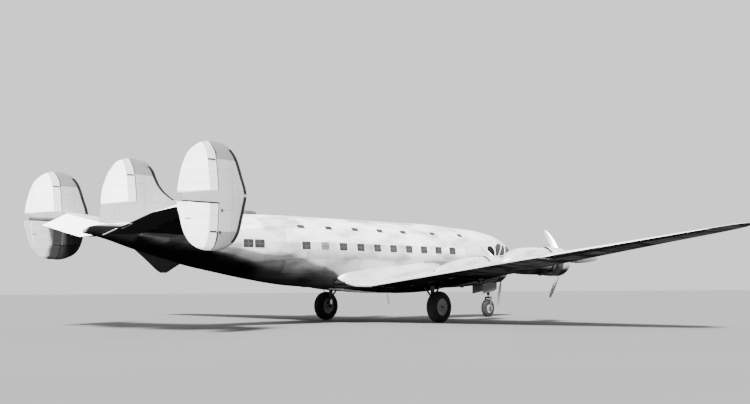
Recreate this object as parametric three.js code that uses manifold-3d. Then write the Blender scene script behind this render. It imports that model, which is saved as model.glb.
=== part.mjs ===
// A four-engine propeller airliner of the late 1930s, standing on its nose-wheel landing gear.
// Lengths are full-size millimetres, and the root group scales them to a 1:2 model.
// +X points to the nose, +Y to the airliner's left and +Z up, with the ground at Z = 0.
import * as THREE from "three";
import { mergeVertices } from "three/addons/utils/BufferGeometryUtils.js";
import Module from "manifold-3d";

const wasm = await Module();
wasm.setup();

// Driving dimensions. Stations run forward from the tip of the tail cone.
const MODEL_SCALE = 1 / 2;
const LENGTH = 29740;
const HALF_SPAN = 21070;
const SEAT_GAP = 1.2; // between pieces that are fixed to each other
const MOVING_GAP = 14; // around a piece that turns
const PIN_RADIUS = 24; // hinge pins
const PIN_HOLE_RADIUS = 27.5;
const PIN_SIDES = 8;
const PIN_ROOT = 50; // how far a pin reaches into the fixed piece
const NOSE_SIDES = 16; // round noses of the control surfaces
const PIN_DEPTH = 2 * MOVING_GAP; // from the fixed end face to the bottom of the pin's hole
const WALL = 80; // cabin wall

const FUSELAGE_SIDES = 28;
const CABIN_STATIONS = [1700, 3500, 6700, 10850, 15500, 20500, 23000, 24000];

const WING = {
  leadingRoot: 21600,
  leadingSlope: -0.19,
  trailingRoot: 14420,
  trailingSlope: 0.0543,
  kink: 1890,
  height: 1820,
  rise: 0.12,
  incidence: 0.045,
  rootThickness: 0.155,
  tipThickness: 0.085,
  hingeShare: 0.22,
};
const FLAP = { inner: 2700, outer: 12250, noseGap: 30, pinBack: 62, pinUp: 34 };
const AILERON = { inner: 12330, outer: 19650 };

const PROPELLER = { radius: 2000, blades: 3, hubRadius: 190 };
const COWL = { radius: 715, lip: 300, length: 1330, skin: 45, sides: 28 };
const CYLINDERS_PER_ROW = 7;
const ENGINES = [
  // name, hub station, hub offset from the centreline, hub height, blade angle from upright
  { name: "right_outer", station: 21300, side: -9350, height: 3050, blade: 34 },
  { name: "right_inner", station: 22600, side: -4550, height: 2770, blade: 49 },
  { name: "left_inner", station: 22600, side: 4550, height: 2770, blade: -49 },
  { name: "left_outer", station: 21300, side: 9350, height: 3050, blade: -34 },
];

const STABILISER = { rise: 0.1908, height: 4170, hinge: 2200, droop: 9.5 };
const FIN_OFFSET = 6350;
const MAIN_WHEEL = { station: 17500, side: 4300, radius: 810, width: 560 };
const NOSE_WHEEL = { station: 27080, side: 0, radius: 550, width: 330, pivot: 27150 };

// Colours, roughness and metalness of the finishes.
const FINISH = {
  metal: new THREE.MeshStandardMaterial({ color: 0xc9ccce, roughness: 0.3, metalness: 0.9 }),
  fabric: new THREE.MeshStandardMaterial({ color: 0xdfe0e0, roughness: 0.55, metalness: 0.3 }),
  glazing: new THREE.MeshStandardMaterial({ color: 0x15181b, roughness: 0.1, metalness: 0 }),
  engine: new THREE.MeshStandardMaterial({ color: 0x3b3d40, roughness: 0.6, metalness: 0.7 }),
  propeller: new THREE.MeshStandardMaterial({ color: 0xb9bcbf, roughness: 0.3, metalness: 0.9 }),
  gear: new THREE.MeshStandardMaterial({ color: 0x8d9194, roughness: 0.4, metalness: 0.7 }),
  tyre: new THREE.MeshStandardMaterial({ color: 0x1b1b1c, roughness: 0.85, metalness: 0 }),
  dark: new THREE.MeshStandardMaterial({ color: 0x2a2c2e, roughness: 0.5, metalness: 0.3 }),
};

const airliner = new THREE.Group();
airliner.scale.setScalar(MODEL_SCALE);

// Where a station lies along X, with the origin midway between tail tip and nose.
function along(station) {
  return station - LENGTH / 2;
}

function mix(a, b, share) {
  return a + (b - a) * share;
}

// A closed solid from points and triangles, turned so that its faces point out.
function solidFrom(points, triangles) {
  let volume = 0;
  for (const [a, b, c] of triangles)
    volume += points[a].dot(new THREE.Vector3().crossVectors(points[b], points[c]));
  const order = volume < 0 ? ([a, b, c]) => [a, c, b] : (t) => t;
  const vertProperties = new Float32Array(points.flatMap((p) => p.toArray()));
  const triVerts = new Uint32Array(triangles.flatMap(order));
  return new wasm.Manifold(new wasm.Mesh({ numProp: 3, vertProperties, triVerts }));
}

// A closed three.js geometry as a solid.
function solidOf(geometry) {
  const bare = geometry.index ? geometry.clone() : geometry;
  bare.deleteAttribute("normal");
  bare.deleteAttribute("uv");
  const merged = mergeVertices(bare, 1e-3);
  return new wasm.Manifold(
    new wasm.Mesh({
      numProp: 3,
      vertProperties: merged.attributes.position.array,
      triVerts: new Uint32Array(merged.index.array),
    }),
  );
}

function joined(solids) {
  return solids.reduce((all, one) => all.add(one));
}

// A loft through rings of equally many points, each end closed by a zip of triangles.
function loft(rings) {
  const count = rings[0].length;
  const points = rings.flat();
  const triangles = [];
  for (let r = 0; r + 1 < rings.length; r++)
    for (let i = 0; i < count; i++) {
      const j = (i + 1) % count;
      const [a, b] = [r * count + i, r * count + j];
      const [c, d] = [a + count, b + count];
      triangles.push([a, c, b], [b, c, d]);
    }
  const last = (rings.length - 1) * count;
  for (let i = 0, k = count - 1; i < k; i++, k--) {
    triangles.push([i, i + 1, k]);
    triangles.push([last + i, last + k, last + i + 1]);
    if (i + 1 < k - 1) {
      triangles.push([i + 1, k - 1, k]);
      triangles.push([last + i + 1, last + k, last + k - 1]);
    }
  }
  return solidFrom(points, triangles);
}

// A prism of an outline of [u, v] points, from low to high along the normal of its plane.
function prism(outline, low, high, place) {
  const shape = new THREE.Shape(outline.map(([u, v]) => new THREE.Vector2(u, v)));
  const geometry = new THREE.ExtrudeGeometry(shape, { depth: high - low, bevelEnabled: false });
  geometry.translate(0, 0, low);
  geometry.applyMatrix4(place);
  return solidOf(geometry);
}

// The side view plane: u along X, v along Z, the prism running along Y about a given Y.
function sideView(y) {
  const turn = new THREE.Matrix4().makeRotationX(Math.PI / 2);
  return new THREE.Matrix4().makeTranslation(0, y, 0).multiply(turn);
}

// A round bar or cone frustum between two points.
function bar(from, to, fromRadius, toRadius = fromRadius, sides = 12) {
  const axis = new THREE.Vector3().subVectors(to, from);
  const geometry = new THREE.CylinderGeometry(toRadius, fromRadius, axis.length(), sides);
  const up = new THREE.Vector3(0, 1, 0);
  const turn = new THREE.Quaternion().setFromUnitVectors(up, axis.clone().normalize());
  geometry.applyQuaternion(turn);
  const middle = new THREE.Vector3().addVectors(from, to).multiplyScalar(0.5);
  geometry.translate(middle.x, middle.y, middle.z);
  return solidOf(geometry);
}

function point(station, y, z) {
  return new THREE.Vector3(along(station), y, z);
}

// Pins at the ends of a hinge and the holes they need, from a function giving the axis at any place along it
function hingePins({ inner, outer }, axisAt) {
  const ends = [
    [inner, 1],
    [outer, -1],
  ];
  const barsOf = (root, depth, radius) =>
    joined(
      ends.map(([end, into]) =>
        bar(axisAt(end - into * root), axisAt(end + into * depth), radius, radius, PIN_SIDES),
      ),
    );
  return {
    pins: barsOf(PIN_ROOT, PIN_DEPTH - SEAT_GAP, PIN_RADIUS),
    holes: barsOf(PIN_ROOT + MOVING_GAP, PIN_DEPTH, PIN_HOLE_RADIUS),
  };
}

function add(name, solid, material) {
  const { numProp, vertProperties, triVerts } = solid.getMesh();
  const positions = new Float32Array((vertProperties.length / numProp) * 3);
  for (let i = 0; i < positions.length / 3; i++)
    positions.set(vertProperties.subarray(i * numProp, i * numProp + 3), i * 3);
  const geometry = new THREE.BufferGeometry();
  geometry.setAttribute("position", new THREE.BufferAttribute(positions, 3));
  geometry.setIndex(Array.from(triVerts));
  geometry.computeVertexNormals();
  const mesh = new THREE.Mesh(geometry, material);
  mesh.name = name;
  airliner.add(mesh);
}

// A table read at any value of its first column, straight between its rows.
function readTable(table, value) {
  let i = 0;
  while (i + 2 < table.length && table[i + 1][0] < value) i++;
  const share = (value - table[i][0]) / (table[i + 1][0] - table[i][0]);
  return table[i].map((low, column) => mix(low, table[i + 1][column], share));
}

// Fuselage
const FUSELAGE_ROWS = [
  // station, top, bottom, half width
  [0, 4265, 4135, 60],
  [300, 4440, 4085, 165],
  [1000, 4560, 3930, 310],
  [2100, 4700, 3610, 520],
  [3500, 4910, 3230, 790],
  [5000, 5090, 2870, 1040],
  [6700, 5270, 2560, 1290],
  [8700, 5370, 2225, 1510],
  [10850, 5415, 1955, 1650],
  [13140, 5420, 1830, 1705],
  [15500, 5425, 1780, 1720],
  [20500, 5450, 1780, 1720],
  [23000, 5370, 1795, 1710],
  [24900, 5300, 1870, 1640],
  [26200, 5160, 1985, 1520],
  [27300, 4940, 2150, 1330],
  [28200, 4610, 2370, 1080],
  [28900, 4210, 2620, 770],
  [29350, 3840, 2860, 480],
  [29620, 3530, 3060, 230],
  [29740, 3330, 3210, 60],
];

function fuselageRing(station, grow, sides = FUSELAGE_SIDES) {
  const [, top, bottom, halfWidth] = readTable(FUSELAGE_ROWS, station);
  const middle = (top + bottom) / 2;
  const ring = [];
  for (let i = 0; i < sides; i++) {
    const angle = (2 * Math.PI * i) / sides;
    const y = (halfWidth + grow) * Math.cos(angle);
    const z = middle + ((top - bottom) / 2 + grow) * Math.sin(angle);
    ring.push(point(station, y, z));
  }
  return ring;
}

function fuselageBody(grow) {
  return loft(FUSELAGE_ROWS.map(([station]) => fuselageRing(station, grow)));
}

const grownFuselage = fuselageBody(SEAT_GAP);
const cabinSpace = loft(CABIN_STATIONS.map((s) => fuselageRing(s, -WALL, FUSELAGE_SIDES / 2)));

// Cockpit glazing: a band of the nose, its thickness out of the skin
const GLAZING = {
  aft: 25950,
  sillFront: 27300, // the sill rises from here to the front
  low: 3700,
  frontLow: 4050,
  high: 4450,
  thickness: 40,
  cornerLength: 700,
  cornerHeight: 250,
};
const ACROSS = 2500; // half the reach of a prism that passes through the whole fuselage

function glazingBand(gap) {
  const { aft, sillFront, low, frontLow, high, cornerLength, cornerHeight } = GLAZING;
  const outline = [
    [along(aft) + gap, low + gap],
    [along(sillFront), low + gap],
    [along(LENGTH), frontLow + gap],
    [along(LENGTH), high - gap],
    [along(aft + cornerLength) + gap, high - gap],
    [along(aft) + gap, high - cornerHeight - gap],
  ];
  return prism(outline, -ACROSS, ACROSS, sideView(0));
}

const bandCut = glazingBand(0).subtract(fuselageBody(-GLAZING.thickness - SEAT_GAP));
const glazing = fuselageBody(0).intersect(glazingBand(SEAT_GAP)).subtract(fuselageBody(-GLAZING.thickness));

// Passenger door: a panel of the left cabin wall, hinged along its front edge
const DOOR = { aft: 8500, front: 9400, sill: 2950, head: 4700, bevel: 60, hingeSide: 1590 };
const doorway = prism(
  [
    [along(DOOR.aft), DOOR.sill],
    [along(DOOR.front), DOOR.sill],
    [along(DOOR.front), DOOR.head],
    [along(DOOR.aft), DOOR.head],
  ],
  -ACROSS,
  -300,
  sideView(0),
);
const doorPlan = [
  [along(DOOR.aft + MOVING_GAP + DOOR.bevel), 900],
  [along(DOOR.front - MOVING_GAP), 900],
  [along(DOOR.front - MOVING_GAP), DOOR.hingeSide],
  [along(DOOR.aft + MOVING_GAP), DOOR.hingeSide],
];
const doorPanel = fuselageBody(0)
  .subtract(cabinSpace)
  .intersect(prism(doorPlan, DOOR.sill + MOVING_GAP, DOOR.head - MOVING_GAP, new THREE.Matrix4()));

// Two hinges outside the skin: a knuckle on the door between two lugs on the fuselage
const DOOR_HINGE = {
  heights: [3460, 4060],
  radius: 18,
  knuckle: 40,
  lug: 20,
  strap: 110,
  halfStrap: 10,
  skinSide: 1485,
};

function box(fromStation, toStation, fromY, toY, fromZ, toZ) {
  const geometry = new THREE.BoxGeometry(toStation - fromStation, toY - fromY, toZ - fromZ);
  geometry.translate(along((fromStation + toStation) / 2), (fromY + toY) / 2, (fromZ + toZ) / 2);
  return solidOf(geometry);
}

function hingeBarrel(low, high) {
  const at = (z) => point(DOOR.front, DOOR.hingeSide, z);
  return bar(at(low), at(high), DOOR_HINGE.radius, DOOR_HINGE.radius, PIN_SIDES);
}

function doorKnuckles() {
  const { heights, knuckle, strap, halfStrap } = DOOR_HINGE;
  const { front, hingeSide } = DOOR;
  return joined(
    heights.flatMap((z) => [
      hingeBarrel(z - knuckle, z + knuckle),
      box(front - strap, front, hingeSide - halfStrap, hingeSide + halfStrap, z - knuckle, z + knuckle),
      box(front - strap, front - 30, DOOR_HINGE.skinSide, hingeSide, z - knuckle, z + knuckle),
    ]),
  );
}

function doorLugs() {
  const { heights, knuckle, lug, halfStrap, skinSide } = DOOR_HINGE;
  return joined(
    heights.flatMap((z) =>
      [
        [z - knuckle - lug, z - knuckle - SEAT_GAP],
        [z + knuckle + SEAT_GAP, z + knuckle + lug],
      ].flatMap(([low, high]) => [
        hingeBarrel(low, high),
        box(DOOR.front, DOOR.front + 70, skinSide, DOOR.hingeSide + halfStrap, low, high),
      ]),
    ),
  );
}

// The pad that takes the front jack, below the nose
const PAD_RADIUS = 110;
const PAD_SIDES = 16;
const NOSE_PAD = { station: 24600, bottom: 1800 };
const nosePad = bar(
  point(NOSE_PAD.station, 0, NOSE_PAD.bottom),
  point(NOSE_PAD.station, 0, NOSE_PAD.bottom + 250),
  PAD_RADIUS,
  PAD_RADIUS,
  PAD_SIDES,
);
const fuselage = fuselageBody(0)
  .subtract(cabinSpace)
  .subtract(bandCut)
  .subtract(doorway)
  .add(doorLugs())
  .add(nosePad);
add("fuselage", fuselage, FINISH.metal);
add("cockpit_glazing", glazing, FINISH.glazing);
add("passenger_door", doorPanel.add(doorKnuckles()), FINISH.metal);

// Wings: aerofoil sections from the centreline to the rounded tip
const AEROFOIL = [
  // share of chord from the leading edge, upper height, lower depth, for a thickness of 1
  [1, 0.012, 0.012],
  [0.78, 0.27, 0.2],
  [0.6, 0.46, 0.32],
  [0.42, 0.59, 0.4],
  [0.25, 0.61, 0.4],
  [0.12, 0.5, 0.32],
  [0.04, 0.31, 0.21],
  [0.008, 0.14, 0.1],
];

function chordAt(y) {
  const leading = WING.leadingRoot + WING.leadingSlope * y;
  const trailing = WING.trailingRoot + WING.trailingSlope * (y - WING.kink);
  return { leading, trailing };
}

function wingHeight(y) {
  return WING.height + WING.rise * (Math.max(y, 1500) - WING.kink);
}

const WING_TIP = [
  // span position, leading edge pulled back, trailing edge pushed forward, thickness kept
  [19700, 0, 0, 1],
  [20350, 130, 40, 0.9],
  [20750, 420, 170, 0.7],
  [20980, 760, 380, 0.42],
  [HALF_SPAN, 1130, 690, 0.1],
];

function wingRing(y, side, pull, push, thick, grow) {
  const chord = chordAt(y);
  const leading = chord.leading - pull;
  const trailing = chord.trailing + push;
  const length = leading - trailing;
  const share = Math.min(1, y / WING_TIP[0][0]);
  const thickness = length * mix(WING.rootThickness, WING.tipThickness, share) * thick;
  const base = wingHeight(y);
  const place = ([fraction, height]) => {
    const x = leading - fraction * length;
    const z = base + (x - chord.trailing) * WING.incidence + height * thickness;
    return [x, z];
  };
  const outward = side * y;
  const upper = AEROFOIL.map(([f, up]) => place([f, up])).map(([x, z]) => point(x, outward, z + grow));
  const lower = AEROFOIL.map(([f, , down]) => place([f, -down])).map(([x, z]) => point(x, outward, z - grow));
  const [noseX, noseZ] = place([0, 0]);
  lower[0].x -= grow;
  upper[0].x -= grow;
  return [...upper, point(noseX + grow, outward, noseZ), ...lower.reverse()];
}

function wingBody(side, grow) {
  const rings = [2, 1500, 6000].map((y) => wingRing(y, side, 0, 0, 1, grow));
  for (const [y, pull, push, thick] of WING_TIP) rings.push(wingRing(y, side, pull, push, thick, grow));
  return loft(rings);
}

// Root fillet between the wing's upper skin and the fuselage side, hollow towards the wing
const FILLET_ROWS = [
  // station, outer edge from the centreline, height there, height of its line on the fuselage
  [21330, 1640, 2250, 2420],
  [20810, 2200, 2505, 3080],
  [20140, 2600, 2690, 3160],
  [19390, 2950, 2775, 3150],
  [17380, 3050, 2580, 2980],
  [15850, 2680, 2245, 2860],
  [14390, 2500, 1920, 2670],
  [13690, 2150, 1950, 2570],
  [13300, 1800, 2110, 2330],
];
const FILLET_DEPTH = 60;
const FILLET_STEPS = 4;
const FILLET_ROOT = 600; // inside the fuselage

function filletBody(side) {
  const rings = FILLET_ROWS.map(([station, edge, edgeHeight, contact]) => {
    const [, top, bottom, halfWidth] = readTable(FUSELAGE_ROWS, station);
    const middle = (top + bottom) / 2;
    const lean = (contact - middle) / ((top - bottom) / 2);
    const wallSide = halfWidth * Math.sqrt(Math.max(0, 1 - lean * lean)) - 40;
    const ring = [point(station, side * FILLET_ROOT, contact), point(station, side * wallSide, contact)];
    for (let i = 1; i <= FILLET_STEPS; i++) {
      const share = i / FILLET_STEPS;
      const z = mix(edgeHeight, contact, (1 - share) ** 2);
      ring.push(point(station, side * mix(wallSide, edge, share), z));
    }
    ring.push(point(station, side * (edge - 20), edgeHeight - FILLET_DEPTH));
    ring.push(point(station, side * FILLET_ROOT, edgeHeight - FILLET_DEPTH));
    return ring;
  });
  return loft(rings);
}

// The plane of a wing, tilted by its dihedral
function wingPlane(side) {
  const tilt = Math.atan(WING.rise) * side;
  const base = WING.height - WING.rise * WING.kink;
  return new THREE.Matrix4().makeTranslation(0, 0, base).multiply(new THREE.Matrix4().makeRotationX(tilt));
}

// A block of a wing's plan between two places along the span and two stations
function spanBox(side, inner, outer, aft, front) {
  const stretch = Math.hypot(1, WING.rise);
  const outline = [
    [along(aft), side * inner * stretch],
    [along(front), side * inner * stretch],
    [along(front), side * outer * stretch],
    [along(aft), side * outer * stretch],
  ];
  if (side < 0) outline.reverse();
  return prism(outline, -900, 1400, wingPlane(side));
}

function wingHinge(y) {
  const { leading, trailing } = chordAt(y);
  const length = leading - trailing;
  const station = trailing + WING.hingeShare * length;
  const share = Math.min(1, y / WING_TIP[0][0]);
  const thickness = length * mix(WING.rootThickness, WING.tipThickness, share);
  const line = wingHeight(y) + (station - trailing) * WING.incidence;
  const upper = line + AEROFOIL[1][1] * thickness;
  const lower = line - AEROFOIL[1][2] * thickness;
  return { station, middle: (upper + lower) / 2, half: (upper - lower) / 2, lower };
}

// The room round a cowl, which the wing's nose leaves free
function cowlRoom(engine) {
  const from = point(engine.station - COWL.lip - COWL.length - 30, engine.side, engine.height);
  const to = point(engine.station, engine.side, engine.height);
  return bar(from, to, COWL.radius + 40, COWL.radius + 40, COWL.sides / 2);
}

function flapPivot(side, y) {
  const { station, lower } = wingHinge(y);
  return point(station - FLAP.pinBack, side * y, lower + FLAP.pinUp);
}

const BEHIND_WING = 11000; // a station behind both trailing edges
const cowlRooms = [-1, 1].map((side) => joined(ENGINES.filter((e) => e.side * side > 0).map(cowlRoom)));

const JACK_PAD = { station: 18300, side: 6400, rise: 200, drop: 205 };

for (const [word, side] of [
  ["right", -1],
  ["left", 1],
]) {
  const whole = wingBody(side, 0);
  const spar = wingHinge(FLAP.inner).station;
  const panelBox = ({ inner, outer }, gap, front) =>
    spanBox(side, inner + gap, outer - gap, BEHIND_WING, front);
  const flapCut = panelBox(FLAP, MOVING_GAP, spar - FLAP.noseGap);
  const flapPins = hingePins(FLAP, (y) => flapPivot(side, y));
  const aileronCut = panelBox(AILERON, MOVING_GAP, spar);
  const [inboard, outboard] = [wingHinge(AILERON.inner), wingHinge(AILERON.outer)];
  const hingeBar = (innerGap, radiusGap) =>
    bar(
      point(inboard.station, side * (AILERON.inner + innerGap), inboard.middle),
      point(outboard.station, side * (AILERON.outer - innerGap), outboard.middle),
      inboard.half + radiusGap,
      outboard.half + radiusGap,
      NOSE_SIDES,
    );
  const aileronAxis = (y) => {
    const share = (y - AILERON.inner) / (AILERON.outer - AILERON.inner);
    return point(
      mix(inboard.station, outboard.station, share),
      side * y,
      mix(inboard.middle, outboard.middle, share),
    );
  };
  const aileronPins = hingePins(AILERON, aileronAxis);
  const flap = whole.intersect(flapCut).subtract(flapPins.holes);
  const aileron = whole
    .intersect(aileronCut)
    .add(hingeBar(MOVING_GAP, -2).intersect(whole))
    .subtract(aileronPins.holes);
  const padAt = (lift) => point(JACK_PAD.station, side * JACK_PAD.side, wingHeight(JACK_PAD.side) + lift);
  const pad = bar(padAt(JACK_PAD.rise), padAt(-JACK_PAD.drop), PAD_RADIUS, PAD_RADIUS, PAD_SIDES);
  const wing = whole
    .add(filletBody(side))
    .subtract(panelBox(FLAP, 0, spar))
    .subtract(panelBox(AILERON, 0, spar))
    .subtract(hingeBar(0, MOVING_GAP))
    .add(flapPins.pins)
    .add(aileronPins.pins)
    .add(pad)
    .subtract(cowlRooms[side < 0 ? 0 : 1])
    .subtract(grownFuselage);
  add(`${word}_wing`, wing, FINISH.metal);
  add(`${word}_flap`, flap, FINISH.metal);
  add(`${word}_aileron`, aileron, FINISH.fabric);
}

// Nacelles, cowls, engines and propellers
const NACELLE_ROWS = {
  // distance behind the hub, top and bottom from the hub's height, half width
  outer: [
    [1560, 610, -610, 605],
    [1900, 665, -665, 645],
    [2700, 655, -665, 630],
    [3600, 610, -650, 570],
    [4350, 470, -600, 450],
    [4850, 190, -480, 280],
    [5180, -80, -330, 60],
  ],
  inner: [
    [1560, 610, -610, 605],
    [1900, 670, -665, 645],
    [3240, 560, -640, 620],
    [4200, 380, -600, 540],
    [5000, 170, -520, 400],
    [5700, -90, -430, 120],
  ],
};
const NACELLE_SIDES = 20;

function nacelleBody(engine) {
  const rows = NACELLE_ROWS[engine.name.endsWith("inner") ? "inner" : "outer"];
  return loft(
    rows.map(([back, top, bottom, halfWidth]) => {
      const ring = [];
      for (let i = 0; i < NACELLE_SIDES; i++) {
        const angle = (2 * Math.PI * i) / NACELLE_SIDES;
        const z = engine.height + (top + bottom) / 2 + ((top - bottom) / 2) * Math.sin(angle);
        ring.push(point(engine.station - back, engine.side + halfWidth * Math.cos(angle), z));
      }
      return ring;
    }),
  );
}

// A profile of [distance ahead of the hub, radius] turned about the engine's axis.
function turned(engine, profile, sides) {
  const points = profile.map(([ahead, radius]) => new THREE.Vector2(radius, ahead));
  const geometry = new THREE.LatheGeometry(points, sides);
  geometry.rotateZ(-Math.PI / 2);
  geometry.translate(along(engine.station), engine.side, engine.height);
  return solidOf(geometry);
}

function cowlProfile() {
  const { radius, lip, length, skin } = COWL;
  return [
    [-lip - 200, radius - 12],
    [-lip - 60, radius - 75],
    [-lip, radius - 150],
    [-lip - 50, radius - 185],
    [-lip - 330, radius - skin],
    [-lip - length, radius - skin],
    [-lip - length, radius - 22],
    [-lip - length + 330, radius],
    [-lip - 200, radius - 12],
  ];
}

const CYLINDER_SECTION = [
  [0, -1],
  [1, -0.5],
  [1, 0.5],
  [0, 1],
  [-1, 0.5],
  [-1, -0.5],
];

const ENGINE = { nose: -130, firewall: -1560 };
const CYLINDER_ROWS = [
  // row, distance behind the hub
  [0, 770],
  [1, 1015],
];

function engineBody(engine) {
  const firewall = ENGINE.firewall + SEAT_GAP;
  const crankcase = turned(
    engine,
    [
      [firewall, 0],
      [firewall, 340],
      [-1300, 340],
      [-1140, 290],
      [-620, 290],
      [-420, 250],
      [-240, 140],
      [ENGINE.nose, 95],
      [ENGINE.nose, 0],
    ],
    12,
  );
  const headReach = (COWL.radius - COWL.skin) * Math.cos(Math.PI / COWL.sides) - SEAT_GAP;
  const solids = [crankcase];
  for (const [row, back] of CYLINDER_ROWS)
    for (let k = 0; k < CYLINDERS_PER_ROW; k++) {
      const angle = ((2 * k + row + 0.25) * Math.PI) / CYLINDERS_PER_ROW;
      const centre = new THREE.Vector3(along(engine.station - back), engine.side, engine.height);
      const outward = new THREE.Vector3(0, Math.cos(angle), Math.sin(angle));
      const sideways = new THREE.Vector3(0, -Math.sin(angle), Math.cos(angle));
      const ring = (out, width, depth) =>
        CYLINDER_SECTION.map(([u, v]) =>
          centre
            .clone()
            .addScaledVector(outward, out)
            .addScaledVector(sideways, u * width)
            .add(new THREE.Vector3(v * depth, 0, 0)),
        );
      solids.push(loft([ring(220, 76, 76), ring(452, 76, 76), ring(458, 72, 108), ring(headReach, 72, 108)]));
    }
  return joined(solids);
}

// One blade along +Z from the hub, its leading edge to the right: twisted, widest near mid radius
const BLADE_ROWS = [
  // share of radius, chord, thickness, twist in degrees from the disc
  [0.06, 130, 126, 62],
  [0.2, 220, 92, 50],
  [0.36, 345, 56, 38],
  [0.6, 335, 36, 27],
  [0.85, 255, 22, 21],
  [0.97, 160, 14, 19],
  [1, 60, 8, 18],
];
const BLADE_SECTION = [
  [-0.5, 0],
  [-0.2, 0.48],
  [0.25, 0.4],
  [0.5, 0],
  [0.25, -0.4],
  [-0.2, -0.48],
];

function bladeBody() {
  return loft(
    BLADE_ROWS.map(([share, chord, thickness, twist]) => {
      const turn = THREE.MathUtils.degToRad(twist);
      return BLADE_SECTION.map(([u, v]) => {
        const [across, ahead] = [u * chord, v * thickness];
        const y = ahead * Math.sin(turn) - across * Math.cos(turn);
        const x = across * Math.sin(turn) + ahead * Math.cos(turn);
        return new THREE.Vector3(x, y, share * PROPELLER.radius);
      });
    }),
  );
}

function propellerBody(engine) {
  const rear = ENGINE.nose + SEAT_GAP;
  const hub = turned(
    engine,
    [
      [rear, 0],
      [rear, 92],
      [-70, PROPELLER.hubRadius],
      [70, PROPELLER.hubRadius],
      [110, 115],
      [320, 95],
      [350, 0],
    ],
    10,
  );
  const blade = bladeBody();
  const blades = [];
  for (let i = 0; i < PROPELLER.blades; i++) {
    const angle = engine.blade + (360 * i) / PROPELLER.blades;
    blades.push(blade.rotate([-angle, 0, 0]).translate([along(engine.station), engine.side, engine.height]));
  }
  return joined([hub, ...blades]);
}

const grownWings = [wingBody(-1, SEAT_GAP), wingBody(1, SEAT_GAP)];
const grownNotchedWings = grownWings.map((wing, i) => wing.subtract(cowlRooms[i]));
for (const engine of ENGINES) {
  const grownWing = grownNotchedWings[engine.side < 0 ? 0 : 1];
  add(`${engine.name}_nacelle`, nacelleBody(engine).subtract(grownWing), FINISH.metal);
  add(`${engine.name}_cowl`, turned(engine, cowlProfile(), COWL.sides), FINISH.metal);
  add(`${engine.name}_engine`, engineBody(engine), FINISH.engine);
  add(`${engine.name}_propeller`, propellerBody(engine), FINISH.propeller);
}

// Tail: fins, stabilisers, rudders and elevators
const THIN_SECTION = [
  // share of chord from the leading edge, half thickness for a thickness of 1
  [1, 0.04],
  [0.75, 0.25],
  [0.5, 0.43],
  [0.28, 0.5],
  [0.1, 0.38],
  [0.02, 0.18],
];

// A symmetric section: leading and trailing edge given by their ends, placed by a function.
function thinRing(leading, trailing, thickness, place) {
  const length = leading - trailing;
  const one = THIN_SECTION.map(([f, h]) => place(leading - f * length, h * thickness));
  const other = THIN_SECTION.map(([f, h]) => place(leading - f * length, -h * thickness)).reverse();
  return [...one, place(leading, 0), ...other];
}

const END_FIN_ROWS = [
  // height, leading edge, trailing edge, thickness
  [3240, 2130, 1700, 20],
  [3300, 2440, 1380, 90],
  [3560, 2965, 920, 170],
  [4000, 3250, 640, 220],
  [4500, 3385, 500, 245],
  [4900, 3480, 385, 270],
  [5450, 3590, 400, 290],
  [6200, 3360, 530, 260],
  [6880, 3090, 800, 200],
  [7170, 2860, 1080, 150],
  [7370, 2540, 1400, 80],
  [7450, 2250, 1700, 20],
];
const CENTRE_FIN_ROWS = [
  [4400, 5100, 690, 300],
  [5400, 4750, 780, 290],
  [5770, 4430, 790, 280],
  [5920, 4160, 815, 268],
  [6150, 3840, 860, 250],
  [6400, 3620, 950, 232],
  [6740, 3430, 1080, 210],
  [7000, 3310, 1262, 170],
  [7250, 3075, 1450, 130],
  [7380, 2860, 1720, 80],
  [7475, 2300, 2050, 20],
];

function finBody(rows, y, grow = 0) {
  return loft(
    rows.map(([height, leading, trailing, thickness]) =>
      thinRing(leading + grow, trailing - grow, thickness + 2 * grow, (x, t) => point(x, y + t, height)),
    ),
  );
}

// Half the thickness of a thin section at a station
function halfThickness(rows, value, station) {
  const [, leading, trailing, thickness] = readTable(rows, value);
  const share = (leading - station) / (leading - trailing);
  let i = 0;
  while (i + 2 < THIN_SECTION.length && THIN_SECTION[i + 1][0] > share) i++;
  const [[aft, aftHalf], [fore, foreHalf]] = [THIN_SECTION[i], THIN_SECTION[i + 1]];
  return thickness * mix(foreHalf, aftHalf, (share - fore) / (aft - fore));
}

// The round nose of a rudder, the room it needs in the fin, and the pins at its ends
function rudderHinge(rows, y, hinge) {
  const [[lowStation, low], [highStation, high]] = hinge;
  const at = (share) => point(mix(lowStation, highStation, share), y, mix(low, high, share));
  const lowHalf = halfThickness(rows, low, lowStation);
  const highHalf = halfThickness(rows, high, highStation);
  const length = Math.hypot(high - low, highStation - lowStation);
  const end = MOVING_GAP / length;
  const halfAt = (share) => mix(lowHalf, highHalf, share) - 1;
  return {
    nose: bar(at(end), at(1 - end), halfAt(end), halfAt(1 - end), NOSE_SIDES),
    room: bar(at(0), at(1), lowHalf + MOVING_GAP, highHalf + MOVING_GAP, NOSE_SIDES),
    ...hingePins({ inner: 0, outer: length }, (reach) => at(reach / length)),
  };
}

function rudderPrism(region, y) {
  const outline = region.map(([station, z]) => [along(station), z]);
  return prism(outline, -800, 800, sideView(y));
}

// The space that a rudder swings through, larger than the rudder by the gap all round
const SWING_STEPS = [-25, -12.5, 12.5, 25]; // degrees
function rudderSwing(rows, region, y, hinge) {
  const [[lowStation, low], [highStation, high]] = hinge;
  const foot = point(lowStation, y, low);
  const axis = point(highStation, y, high).sub(foot).normalize();
  const rudder = finBody(rows, y, MOVING_GAP).intersect(rudderPrism(region, y));
  return joined(SWING_STEPS.map((degrees) => turnedAbout(rudder, foot, axis, degrees)));
}

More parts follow.
